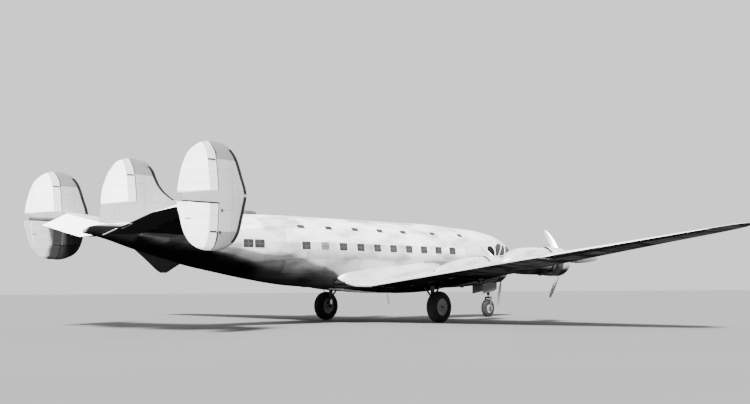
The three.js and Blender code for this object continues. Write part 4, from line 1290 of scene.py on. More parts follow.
    def window_row(self, row: WindowRow, sides: Sequence[Side] = tuple(Side), body: str = AIRFRAME) -> None:
        """Builds the frames, panes and blinds of a row of windows.

        Args:
            row: The row.
            sides: The sides that it is on.
            body: The body that it rides on.
        """
        frames, panes, blinds, bars = Shell(), Shell(), Shell(), Shell()
        aft, front, _, _ = self.door
        for side in sides:
            for number, station in enumerate(row.stations):
                if body == AIRFRAME and side is Side.LEFT and aft < station < front:
                    continue
                outline = self._outline(station, row)
                self._frame(frames, outline, side)
                self._pane(panes, outline, side, 0.004)
                if number in row.blinds:
                    self._pane(blinds, outline, side, 0.006)
                if row.high - row.low > 0.3:
                    self._cross(bars, station, row, side)
        frames.piece(f"{row.name}_window_frames", GASKET, body)
        panes.piece(f"{row.name}_window_panes", CABIN_GLASS, body)
        if blinds.faces:
            blinds.piece(f"{row.name}_window_blinds", BLIND, body)
        if bars.faces:
            bars.piece(f"{row.name}_window_bars", MULLION, body)

    def _cross(self, shell: Shell, station: float, row: WindowRow, side: Side) -> None:
        """Adds the slender bars that cross a window.

        Args:
            shell: The mesh that they go into.
            station: The window's middle.
            row: Its row.
            side: The side of the hull.
        """
        half = 0.016
        middle = (row.low + row.high) / 2
        upright = WindowRow("", (station,), 2 * half, row.low, row.high, half / 2)
        level = WindowRow("", (station,), row.width, middle - half, middle + half, half / 2)
        for strip in (upright, level):
            self._pane(shell, self._outline(station, strip), side, 0.009)

    def _outline(self, station: float, row: WindowRow) -> list[tuple[float, float]]:
        """Gives a window's opening.

        Args:
            station: The window's middle.
            row: Its row.

        Returns:
            Stations and heights, round its corners.
        """
        outline = []
        centre = (row.low + row.high) / 2
        for quarter, (a, b) in enumerate(((1, 1), (-1, 1), (-1, -1), (1, -1))):
            for turn in spread(quarter * math.pi / 2, (quarter + 1) * math.pi / 2, 4):
                x = station + a * (row.width / 2 - row.corner) + row.corner * math.cos(turn)
                z = centre + b * ((row.high - row.low) / 2 - row.corner) + row.corner * math.sin(turn)
                outline.append((x, z))
        return outline

    def _grown(self, outline: Sequence[tuple[float, float]], grow: float) -> list[tuple[float, float]]:
        """Moves an outline out from its middle.

        Args:
            outline: Stations and heights of its points.
            grow: The distance.

        Returns:
            The moved points.
        """
        middle_x = sum(x for x, _ in outline) / len(outline)
        middle_z = sum(z for _, z in outline) / len(outline)
        moved = []
        for i, (x, z) in enumerate(outline):
            (ax, az), (bx, bz) = outline[i - 1], outline[(i + 1) % len(outline)]
            normal = Vector((bz - az, ax - bx))
            if normal.dot(Vector((x - middle_x, z - middle_z))) < 0:
                normal.negate()
            normal.normalize()
            moved.append((x + normal.x * grow, z + normal.y * grow))
        return moved

    def _frame(self, shell: Shell, outline: Sequence[tuple[float, float]], side: Side,
               width: float = 0.035, height: float = 0.012) -> None:
        """Adds a raised frame round an outline.

        Args:
            shell: The mesh that it goes into.
            outline: Stations and heights of its inner edge.
            side: The side of the hull.
            width: The frame's width.
            height: How far it stands off the skin.
        """
        rows = []
        for grow, lift in ((width, -0.004), (width * 0.85, height), (width * 0.2, height), (0.0, 0.0)):
            ring = self._grown(outline, grow)
            rows.append([shell.add(self.hull.at_height(x, z, side, lift), x, z) for x, z in ring])
        shell.sheet(rows, True)

    def _pane(self, shell: Shell, outline: Sequence[tuple[float, float]], side: Side, lift: float) -> None:
        """Fills an outline with a pane that follows the skin.

        Args:
            shell: The mesh that it goes into.
            outline: Stations and heights of its edge.
            side: The side of the hull.
            lift: How far it stands off the skin.
        """
        middle_x = sum(x for x, _ in outline) / len(outline)
        middle_z = sum(z for _, z in outline) / len(outline)
        rows = []
        for share in (1.0, 0.6, 0.2):
            ring = [(mix(middle_x, x, share), mix(middle_z, z, share)) for x, z in outline]
            rows.append([shell.add(self.hull.at_height(x, z, side, lift), x, z) for x, z in ring])
        shell.sheet(rows, True)
        shell.face(*rows[-1])

    def cockpit(self) -> None:
        """Builds the cockpit's panes and their frames."""
        panes, frames, ovals = Shell(), Shell(), Shell()
        oval = WindowRow("oval", (25.48,), 0.8, 3.52, 4.26, 0.35)
        for side in Side:
            for corners in COCKPIT_PANES:
                outline = self._refined(corners)
                self._pane(panes, outline, side, 0.006)
                self._frame(frames, outline, side, 0.06, 0.018)
            outline = self._outline(oval.stations[0], oval)
            self._pane(ovals, outline, side, 0.006)
            self._frame(frames, outline, side, 0.03, 0.014)
        panes.piece("cockpit_panes", SCREEN, replaces=["cockpit_glazing"])
        ovals.piece("cockpit_oval_windows", GLASS)
        frames.piece("cockpit_frames", GASKET)

    def _refined(self, corners: Sequence[tuple[float, float]]) -> list[tuple[float, float]]:
        """Puts points along the sides of a polygon and cuts its corners.

        Args:
            corners: Stations and heights of its corners.

        Returns:
            The points.
        """
        outline = []
        for i, (x, z) in enumerate(corners):
            nx, nz = corners[(i + 1) % len(corners)]
            outline += [(mix(x, nx, share), mix(z, nz, share)) for share in (0.12, 0.35, 0.65, 0.88)]
        return outline

    def fittings(self) -> None:
        """Builds the jack pad under the nose and the tail light."""
        shell = Shell()
        station, top, foot = self.jack
        shell.bar(Vector((station, 0.0, top)), Vector((station, 0.0, foot)), 0.12, 0.11, 24)
        shell.piece("nose_jack_pad", ENAMEL)
        light = Shell()
        light.lathe(Vector((0.06, 0.0, 4.2)), -AHEAD, [(0.0, 0.05), (0.03, 0.045), (0.05, 0.03)], 12)
        light.piece("tail_light", SMOKED)


# Foils
class Foil:
    """A wing-like body: a chord and a thickness at every place along its span."""

    def __init__(self, rows: Sequence[Sequence[float]], section: Sequence[Sequence[float]],
                 place: Callable[[float, float, float], Vector]) -> None:
        """Reads the tables.

        Args:
            rows: Span position, leading edge, trailing edge, thickness.
            section: Share of chord, upper height, lower depth.
            place: Gives the place of a station, span position and height above the chord.
        """
        self.rows = Curve(rows)
        self.section = Curve([(math.sqrt(share), up, down) for share, up, down in section])
        self.place = place

    def chord(self, span: float) -> tuple[float, float]:
        """Gives the stations of the leading and the trailing edge."""
        leading, trailing, _ = self.rows.at(span)
        return leading, trailing

    def heights(self, span: float, station: float) -> tuple[float, float]:
        """Gives the heights of the two faces above the chord.

        Args:
            span: Position along the span.
            station: A station between the edges.

        Returns:
            The upper face's height and the lower face's.
        """
        leading, trailing, thickness = self.rows.at(span)
        share = held((leading - station) / (leading - trailing))
        up, down = self.section.at(math.sqrt(share))
        return up * thickness, -down * thickness

    def panel(self, shell: Shell, spans: Sequence[float], stations: Callable[[float], Sequence[float]],
              keep: Callable[[float, int], bool] = lambda span, column: True,
              arcs: dict[int, float] | None = None, lift: float = 0.0,
              painted_shade: Callable[[Vector], float] | None = None) -> None:
        """Builds a closed body between lines along the span and lines along the chord.

        Args:
            shell: The mesh that it goes into.
            spans: Positions along the span, rising.
            stations: Gives the stations of the chord's lines at a span position, from front to back.
            keep: Tells from a span position and a column whether that cell is there.
            arcs: Columns whose front or back wall is a round nose or cove, with the distance of its axis.
            lift: How far the faces stand off the foil.
            painted_shade: Gives a point's depth below the upper line of a painted shadow; without it, its
                distance behind the front.
        """
        faces = {1: [], -1: []}
        lines = [list(stations(span)) for span in spans]
        for span, line in zip(spans, lines):
            for up in faces:
                row = []
                for station in line:
                    height = self.heights(span, station)[0 if up > 0 else 1] + up * lift
                    place = self.place(station, span, height)
                    depth = painted_shade(place) if painted_shade else line[0] - station
                    row.append(shell.add(place, span, station, depth))
                faces[up].append(row)
        top, low = faces[1], faces[-1]
        columns = len(lines[0]) - 1
        kept = [
            [keep((a + b) / 2, column) for column in range(columns)] for a, b in zip(spans, spans[1:])
        ]

        def there(i: int, j: int) -> bool:
            """Tells whether a cell is in the grid and kept."""
            return 0 <= i < len(kept) and 0 <= j < columns and kept[i][j]

        for i in range(len(kept)):
            for j in range(columns):
                if not kept[i][j]:
                    continue
                for grid in (top, low):
                    shell.face(grid[i][j], grid[i][j + 1], grid[i + 1][j + 1], grid[i + 1][j])
                for edge in (i, i + 1):
                    if not there(edge if edge > i else i - 1, j):
                        shell.face(top[edge][j], top[edge][j + 1], low[edge][j + 1], low[edge][j])
                for edge in (j, j + 1):
                    if there(i, edge if edge > j else j - 1):
                        continue
                    if arcs is None or edge not in arcs:
                        shell.face(top[i][edge], top[i + 1][edge], low[i + 1][edge], low[i][edge])
                        continue
                    ends = []
                    for row in (i, i + 1):
                        curve = self._arc(shell, spans[row], lines[row][edge], arcs[edge], lift)
                        ends.append([top[row][edge], *curve, low[row][edge]])
                    shell.bridge(ends[0], ends[1])
                    beyond = edge if edge > j else j - 1
                    for row, curve in zip((i - 1, i + 1), ends):
                        if not there(row, j) or there(row, beyond):
                            shell.face(*curve)

    def _arc(self, shell: Shell, span: float, station: float, back: float, lift: float) -> list[int]:
        """Gives the points of a round nose or cove between a foil's faces.

        Args:
            shell: The mesh that they go into.
            span: Their place along the span.
            station: The station of the faces' edge.
            back: How far behind that edge the arc's axis lies.
            lift: How far the faces stand off the foil.

        Returns:
            The numbers of the points, from the upper face to the lower.
        """
        up, down = self.heights(span, station)
        middle, half = (up + down) / 2, (up - down) / 2 + lift
        radius = math.hypot(half, back)
        start = math.asin(back / radius)
        points = []
        for turn in spread(start, math.pi - start, 8)[1:-1]:
            ahead, up = radius * math.sin(turn), radius * math.cos(turn)
            points.append(shell.add(self.place(station - back + ahead, span, middle + up), span, station))
        return points


def clustered(front: float, back: float, count: int) -> list[float]:
    """Gives stations from a leading edge back, close together at the edge."""
    return [front + (back - front) * (i / count) ** 1.8 for i in range(count + 1)]


# Wings
@dataclass
class Wing:
    """One wing with its flap, aileron, fillet, jack pad and lamps."""

    side: Side
    hull: Hull
    leading_root: float = 21.6
    leading_slope: float = -0.19
    trailing_root: float = 14.42
    trailing_slope: float = 0.0543
    kink: float = 1.89
    height: float = 1.82
    rise: float = 0.12
    incidence: float = 0.045
    root_thickness: float = 0.155
    tip_thickness: float = 0.085
    hinge_share: float = 0.22
    flap: Pair = (2.7, 12.25)
    aileron: Pair = (12.33, 19.65)
    gap: float = 0.014
    side_room: float = 0.05
    cove: float = 0.045
    # where the plan starts to round off, where the built skin starts, and a line close to its tip
    tip: float = 19.7
    root: float = 0.6
    last_line: float = 21.04
    tab: Pair = (12.9, 15.2)
    # how far ahead of the trailing edge the slit before the tab starts and ends, and the tab starts
    tab_cuts: tuple[float, float, float] = (0.17, 0.158, 0.155)
    # where the hollow fillet's foot lies: distance from the centreline, and below the fillet's edge
    fillet_foot: Pair = (0.6, 0.06)
    # the jack pad's station and distance from the centreline
    jack: Pair = (18.3, 6.4)
    # the first and last hinge cover, and how far ahead of the spar their ends lie
    cover_spans: Pair = (3.7, 11.5)
    covers: Pair = (0.24, 0.13)

    def __post_init__(self) -> None:
        """Works out the plan."""
        rows = []
        kept = Curve(WING_TIP_ROWS)
        for span in between([0.0, self.tip], 2.5) + [row[0] for row in WING_TIP_ROWS[1:]]:
            pull, push, thick = kept.at(span)
            leading = self.leading_root + self.leading_slope * span - pull
            trailing = self.trailing(span) + push
            share = mix(self.root_thickness, self.tip_thickness, min(1.0, span / self.tip))
            rows.append((span, leading, trailing, (leading - trailing) * share * thick))
        self.foil = Foil(rows, AEROFOIL_ROWS, self.place)
        self.spar = self._hinge(self.flap[0])

    def trailing(self, span: float) -> float:
        """Gives the station of the straight trailing edge."""
        return self.trailing_root + self.trailing_slope * (span - self.kink)

    def place(self, station: float, span: float, height: float) -> Vector:
        """Gives the place of a point of the wing.

        Args:
            station: Its station.
            span: Position along the span.
            height: Its height above the chord.

        Returns:
            The place.
        """
        base = self.height + self.rise * (max(span, 1.5) - self.kink)
        lift = (station - self.trailing(span)) * self.incidence
        return Vector((station, self.side.value * span, base + lift + height))

    def build(self) -> None:
        """Builds all pieces of the wing."""
        self.main_part()
        self.flap_part()
        self.aileron_part()
        self.fillet()
        self.fittings()

    def _hinge(self, span: float) -> float:
        """Gives the station of a hinge at the hinges' share of the chord."""
        leading, trailing = self.foil.chord(span)
        return trailing + self.hinge_share * (leading - trailing)

    def main_part(self) -> None:
        """Builds the fixed skin, cut away for flap and aileron."""
        tip = [row[0] for row in WING_TIP_ROWS]
        spans = between([self.root, *self.flap, *self.aileron, *tip, self.last_line], 0.5)
        edge = 20

        def stations(span: float) -> list[float]:
            """Places the chord's lines, close together at the front.

            Args:
                span: Position along the span.

            Returns:
                Their stations, from front to back.
            """
            leading, trailing = self.foil.chord(span)
            hinge = self._hinge(span) + self.cove if self.aileron[0] - 0.05 < span else self.spar
            hinge = held(hinge, trailing + 0.02, leading - 0.02)
            return clustered(leading, hinge, edge) + spread(hinge, trailing, 8)[1:]

        def keep(span: float, column: int) -> bool:
            """Leaves out what flap and aileron take.

            Args:
                span: Position along the span.
                column: The column of the cell.

            Returns:
                Whether the cell is there.
            """
            if column < edge:
                return True
            return not (self.flap[0] < span < self.flap[1] or self.aileron[0] < span < self.aileron[1])

        shell = Shell()
        self.foil.panel(shell, spans, stations, keep)
        shell.piece(f"{self.side.word}_wing_skin", WING_SKIN, replaces=[f"{self.side.word}_wing"])

    def flap_part(self) -> None:
        """Builds the flap."""
        low, high = self.flap[0] + self.gap, self.flap[1] - self.side_room
        shell = Shell()

        def stations(span: float) -> list[float]:
            """Places the chord's lines."""
            return spread(self.spar - 0.03, self.foil.chord(span)[1], 10)

        self.foil.panel(shell, between([low, high], 0.6), stations)
        word = self.side.word
        shell.piece(f"{word}_flap_skin", WING_SKIN, f"{word}_flap_body", [f"{word}_flap"])

    def aileron_part(self) -> None:
        """Builds the aileron and its trim tab."""
        low, high = self.aileron[0] + self.gap, self.aileron[1] - self.gap
        tab = self.tab
        end, step, start = self.tab_cuts
        shell = Shell()

        def stations(span: float) -> list[float]:
            """Places the chord's lines, with a slit ahead of the tab."""
            trailing = self.foil.chord(span)[1]
            return spread(self._hinge(span), trailing + end, 7) + [trailing + step, trailing]

        spans = between([low, *tab, high], 0.42)
        word = self.side.word
        self.foil.panel(shell, spans, stations, lambda s, c: c < 7 or not tab[0] < s < tab[1], {0: 0.0})
        shell.piece(f"{word}_aileron_skin", DOPE, f"{word}_aileron_body", [f"{word}_aileron"])
        small = Shell()
        self.foil.panel(small, between([tab[0] + 0.012, tab[1] - 0.012], 0.5),
                        lambda s: spread(self.foil.chord(s)[1] + start, self.foil.chord(s)[1], 3))
        small.piece(f"{word}_aileron_tab", FIN_DORSAL, f"{word}_aileron_body")

    def fillet(self) -> None:
        """Builds the fillet between wing and fuselage, hollow towards the wing."""
        curve = Curve(FILLET_ROWS)
        foot, depth = self.fillet_foot
        shell = Shell()
        rows = []
        for station in between([FILLET_ROWS[-1][0], FILLET_ROWS[0][0]], 0.2):
            edge, edge_height, contact = curve.at(station)
            outer = Vector((station, self.side.value * edge, edge_height))
            wall = self.hull.at_height(station, contact, self.side, -0.01)
            line = []
            for t in spread(0.0, 1.0, 14):
                height = mix(outer.z, wall.z, (1 - t) ** 2)
                line.append(Vector((station, mix(wall.y, outer.y, t), height)))
            line.append(outer + Vector((0.0, -self.side.value * 0.03, -depth)))
            line.append(Vector((station, self.side.value * foot, edge_height - depth)))
            rows.append([shell.add(p, station, i * 0.1) for i, p in enumerate(line)])
        shell.sheet(rows)
        shell.face(*rows[0])
        shell.face(*rows[-1])
        shell.piece(f"{self.side.word}_wing_fillet", WING_SKIN)

    def fittings(self) -> None:
        """Builds the jack pad, the covers over the flap's hinges and the tip's lamp."""
        word = self.side.word
        station, out = self.jack
        under = Vector((station, self.side.value * out, self.height + self.rise * (out - self.kink)))
        pad = Shell()
        pad.bar(under - UP * 0.1, under - UP * 0.205, 0.13, 0.11, 24)
        pad.piece(f"{word}_jack_pad", ENAMEL)
        covers = Shell()
        ends = [self.spar + ahead for ahead in self.covers]
        for span in spread(*self.cover_spans, 6):
            self.foil.panel(covers, [span - 0.15, span + 0.15], lambda s: ends, lift=0.003)
        covers.piece(f"{word}_flap_hinge_covers", DOOR_SKIN)
        lamp = Shell()
        leading, _ = self.foil.chord(20.75)
        spot = self.place(leading - 0.08, 20.72, 0.0)
        lamp.lathe(spot, AHEAD, [(0.0, 0.06), (0.06, 0.055), (0.12, 0.03), (0.135, 0.008)], 12)
        lamp.piece(f"{word}_tip_lamp", SMOKED)


# Engines
@dataclass(frozen=True)
class EnginePlace:
    """Where an engine is: hub station, offset, height and the turn of its blades from upright."""

    name: str
    station: float
    offset: float
    height: float
    blade: float


ENGINE_PLACES = (
    EnginePlace("right_outer", 21.3, -9.35, 3.05, 34.0),
    EnginePlace("right_inner", 22.6, -4.55, 2.77, 49.0),
    EnginePlace("left_inner", 22.6, 4.55, 2.77, -49.0),
    EnginePlace("left_outer", 21.3, 9.35, 3.05, -34.0),
)


@dataclass
class PowerUnit:
    """One nacelle with its cowl, engine and propeller."""

    place: EnginePlace
    cowl_radius: float = 0.715
    cowl_lip: float = 0.3
    band_turns: Pair = (155.0, 385.0)
    flaps: int = 18
    flap_share: float = 0.93
    studs: int = 14
    rows: Pair = (0.77, 1.015)
    per_row: int = 7
    blades: int = 3
    blade_radius: float = 2.0

    @property
    def name(self) -> str:
        """The word that starts the names of the unit's pieces."""
        return self.place.name

    @property
    def hub(self) -> Vector:
        """The middle of the propeller's disc."""
        return Vector((self.place.station, self.place.offset, self.place.height))

    def build(self) -> None:
        """Builds all pieces of the unit."""
        self.nacelle()
        self.cowl()
        self.crankcase()
        self.cylinders()
        self.propeller()

    def _about(self, back: float, radius: float, turn: float) -> Vector:
        """Gives a place behind the hub by its distance from the shaft and its angle."""
        return self.hub + Vector((-back, radius * math.cos(turn), radius * math.sin(turn)))

    def nacelle(self) -> None:
        """Builds the nacelle's skin and its exhaust."""
        rows = NACELLE_ROWS["inner" if self.name.endswith("inner") else "outer"]
        curve = Curve(rows)
        rings = []
        for back in between([row[0] for row in rows], 0.16):
            top, bottom, half = curve.at(back)
            middle, rise = (top + bottom) / 2, (top - bottom) / 2
            ring = [Vector((-back, half * math.cos(t), middle + rise * math.sin(t))) for t in full_turn(40)]
            rings.append([self.hub + place for place in ring])
        shell = Shell()
        shell.rings(rings)
        shell.piece(f"{self.name}_nacelle_skin", NACELLE_SKIN, replaces=[f"{self.name}_nacelle"])
        side = math.copysign(1.0, self.place.offset)
        pipe = Shell()
        pipe.tube([self.hub + Vector((-back, side * out, up)) for back, out, up in EXHAUST], 0.06, 14)
        pipe.piece(f"{self.name}_exhaust", SOOT)

    def cowl(self) -> None:
        """Builds the ring cowl, the dark band round its rear and its flaps."""
        radius, lip = self.cowl_radius, self.cowl_lip
        profile = [(-lip - d, radius + dr) for d, dr in COWL_OUTSIDE + COWL_INSIDE]
        shell = Shell()
        shell.lathe(self.hub, AHEAD, profile + profile[:1], 64, cap=False)
        shell.piece(f"{self.name}_cowl_skin", NACELLE_SKIN, replaces=[f"{self.name}_cowl"])
        band = Shell()
        start, end = self.band_turns
        turns = spread(math.radians(start), math.radians(end), 40)
        rows = []
        for d, dr in COWL_BAND:
            rows.append([band.add(self._about(lip + d, radius + dr, t), d, t) for t in turns])
        band.sheet(rows)
        band.piece(f"{self.name}_cowl_band", SOOT)
        flaps = Shell()
        for k in range(self.flaps):
            middle = 2 * math.pi * (k + 0.5) / self.flaps
            if abs(math.sin(middle)) < 0.97:
                self._cowl_flap(flaps, middle)
        flaps.piece(f"{self.name}_cowl_flaps", NACELLE_SKIN)

    def _cowl_flap(self, shell: Shell, middle: float) -> None:
        """Adds one cowl flap.

        Args:
            shell: The mesh that it goes into.
            middle: The angle of its middle.
        """
        half = self.flap_share * math.pi / self.flaps
        turns = spread(middle - half, middle + half, 4)
        front_out, front_in, back_out, back_in = [
            [shell.add(self._about(self.cowl_lip + d, radius - wall, t), d, t) for t in turns]
            for d, radius in ((COWL_LENGTH - 0.01, self.cowl_radius - 0.03),
                              (COWL_LENGTH + 0.21, self.cowl_radius + 0.018))
            for wall in (0.0, 0.014)
        ]
        shell.sheet([front_out, back_out, back_in, front_in, front_out])
        for i in (0, -1):
            shell.face(front_out[i], back_out[i], back_in[i], front_in[i])

    def crankcase(self) -> None:
        """Builds the crankcase with its nose, baffle and studs, and the ignition ring."""
        shell = Shell()
        shell.lathe(self.hub, AHEAD, CRANKCASE, 32)
        for turn in full_turn(self.studs):
            base = self._about(0.585, 0.283, turn)
            shell.bar(base, base + AHEAD * 0.05, 0.013, sides=6)
        shell.piece(f"{self.name}_crankcase", CASTING, replaces=[f"{self.name}_engine"])
        ring = Shell()
        ring.tube([self._about(0.5, 0.33, t) for t in spread(0.0, 2 * math.pi, 28)], 0.02, 8)
        for side in (-1, 1):
            base = self.hub + Vector((-0.42, side * 0.16, 0.2))
            ring.bar(base, base + Vector((0.1, 0.0, 0.02)), 0.055, 0.045, 12)
        ring.piece(f"{self.name}_ignition", SOOT)

    def _barrel(self) -> list[tuple[float, float]]:
        """Gives a cylinder's profile, over the fins of barrel and head.

        Returns:
            Distances from the shaft, each with a radius.
        """
        profile = [(0.25, 0.07)]
        for fin in range(7):
            d = 0.3 + fin * 0.024
            profile += [(d, 0.07), (d + 0.002, 0.088), (d + 0.008, 0.088), (d + 0.01, 0.07)]
        for fin in range(6):
            d = 0.47 + fin * 0.027
            wide = 0.108 - 0.004 * abs(fin - 2)
            profile += [(d, 0.082), (d + 0.002, wide), (d + 0.01, wide), (d + 0.012, 0.082)]
        return profile + [(0.64, 0.075), (0.655, 0.05)]

    def cylinders(self) -> None:
        """Builds the finned cylinders with their rocker boxes and pushrods."""
        shell, rods = Shell(), Shell()
        profile = self._barrel()
        for row, back in enumerate(self.rows):
            for k in range(self.per_row):
                turn = (2 * k + row + 0.25) * math.pi / self.per_row
                out = Vector((0.0, math.cos(turn), math.sin(turn)))
                across = Vector((0.0, -math.sin(turn), math.cos(turn)))
                centre = self.hub - AHEAD * back
                shell.lathe(centre, out, profile, 14)
                for lean in (-1, 1):
                    box = centre + out * 0.6 + across * lean * 0.055 + AHEAD * 0.035
                    shell.bar(box, box + out * 0.055 + across * lean * 0.01, 0.034, 0.026, 8)
                    foot = self.hub - AHEAD * (back - 0.16) + out * 0.27 + across * lean * 0.03
                    rods.bar(foot, box + AHEAD * 0.02, 0.011, sides=6)
        shell.piece(f"{self.name}_cylinders", FINS)
        rods.piece(f"{self.name}_pushrods", CHROME)

    def _blade(self, turn: Matrix) -> list[list[Vector]]:
        """Gives the rings of one blade, from its root to its tip.

        Args:
            turn: The blade's turn from upright.

        Returns:
            The rings.
        """
        curve = Curve(BLADE_ROWS)
        rings = []
        for share in between([row[0] for row in BLADE_ROWS] + [0.985, 0.995], 0.05):
            chord, thick, twist = curve.at(share)
            lean = math.radians(twist)
            ring = []
            for t in full_turn(18):
                u = 0.5 * math.cos(t) * chord
                v = 0.5 * math.sin(t) * thick * (1.0 + 0.15 * math.cos(t))
                ahead = u * math.sin(lean) + v * math.cos(lean)
                across = v * math.sin(lean) - u * math.cos(lean)
                ring.append(self.hub + turn @ Vector((ahead, across, share * self.blade_radius)))
            rings.append(ring)
        return rings

    def propeller(self) -> None:
        """Builds the hub, its dome and the blades."""
        hub, blades = Shell(), Shell()
        hub.lathe(self.hub, AHEAD, PROPELLER_HUB, 32)
        for k in range(self.blades):
            turn = Matrix.Rotation(-math.radians(self.place.blade + 360 * k / self.blades), 3, "X")
            blades.rings(self._blade(turn))
            hub.lathe(self.hub, turn @ UP, BLADE_SOCKET, 20)
        body = f"{self.name}_propeller_body"
        hub.piece(f"{self.name}_propeller_hub", CASTING, body)
        blades.piece(f"{self.name}_propeller_blades", BLADE, body, [f"{self.name}_propeller"], crease=60.0)


# Tail
@dataclass(frozen=True)
class Rudder:
    """A rudder in side view: hinge, the edge line that it shares with the fin, trim tab."""

    name: str
    hinge: tuple[Pair, Pair]
    edge: tuple[Pair, ...]
    low: float
    high: float
    tab: tuple[Pair, Pair]
    arms: tuple[Pair, ...] = ()
    horn: float = 0.0
    slit: float = 0.014

    def front(self, height: float) -> float:
        """Gives the rudder's front edge.

        Args:
            height: A height.

        Returns:
            The edge's station there; beyond its ends, that of the end.
        """
        for (za, xa), (zb, xb) in zip(self.edge, self.edge[1:]):
            if za <= height <= zb:
                return mix(xa, xb, (height - za) / (zb - za))
        return self.edge[0][1] if height < self.edge[0][0] else self.edge[-1][1]

    def hinge_station(self, height: float) -> float:
        """Gives the station of the hinge line at a height, also beyond its ends."""
        (xa, za), (xb, zb) = self.hinge
        return mix(xa, xb, (height - za) / (zb - za))

    def on_hinge(self, height: float) -> bool:
        """Tells whether the front edge at a height is the hinge."""
        return self.hinge[0][1] <= height <= self.hinge[1][1]


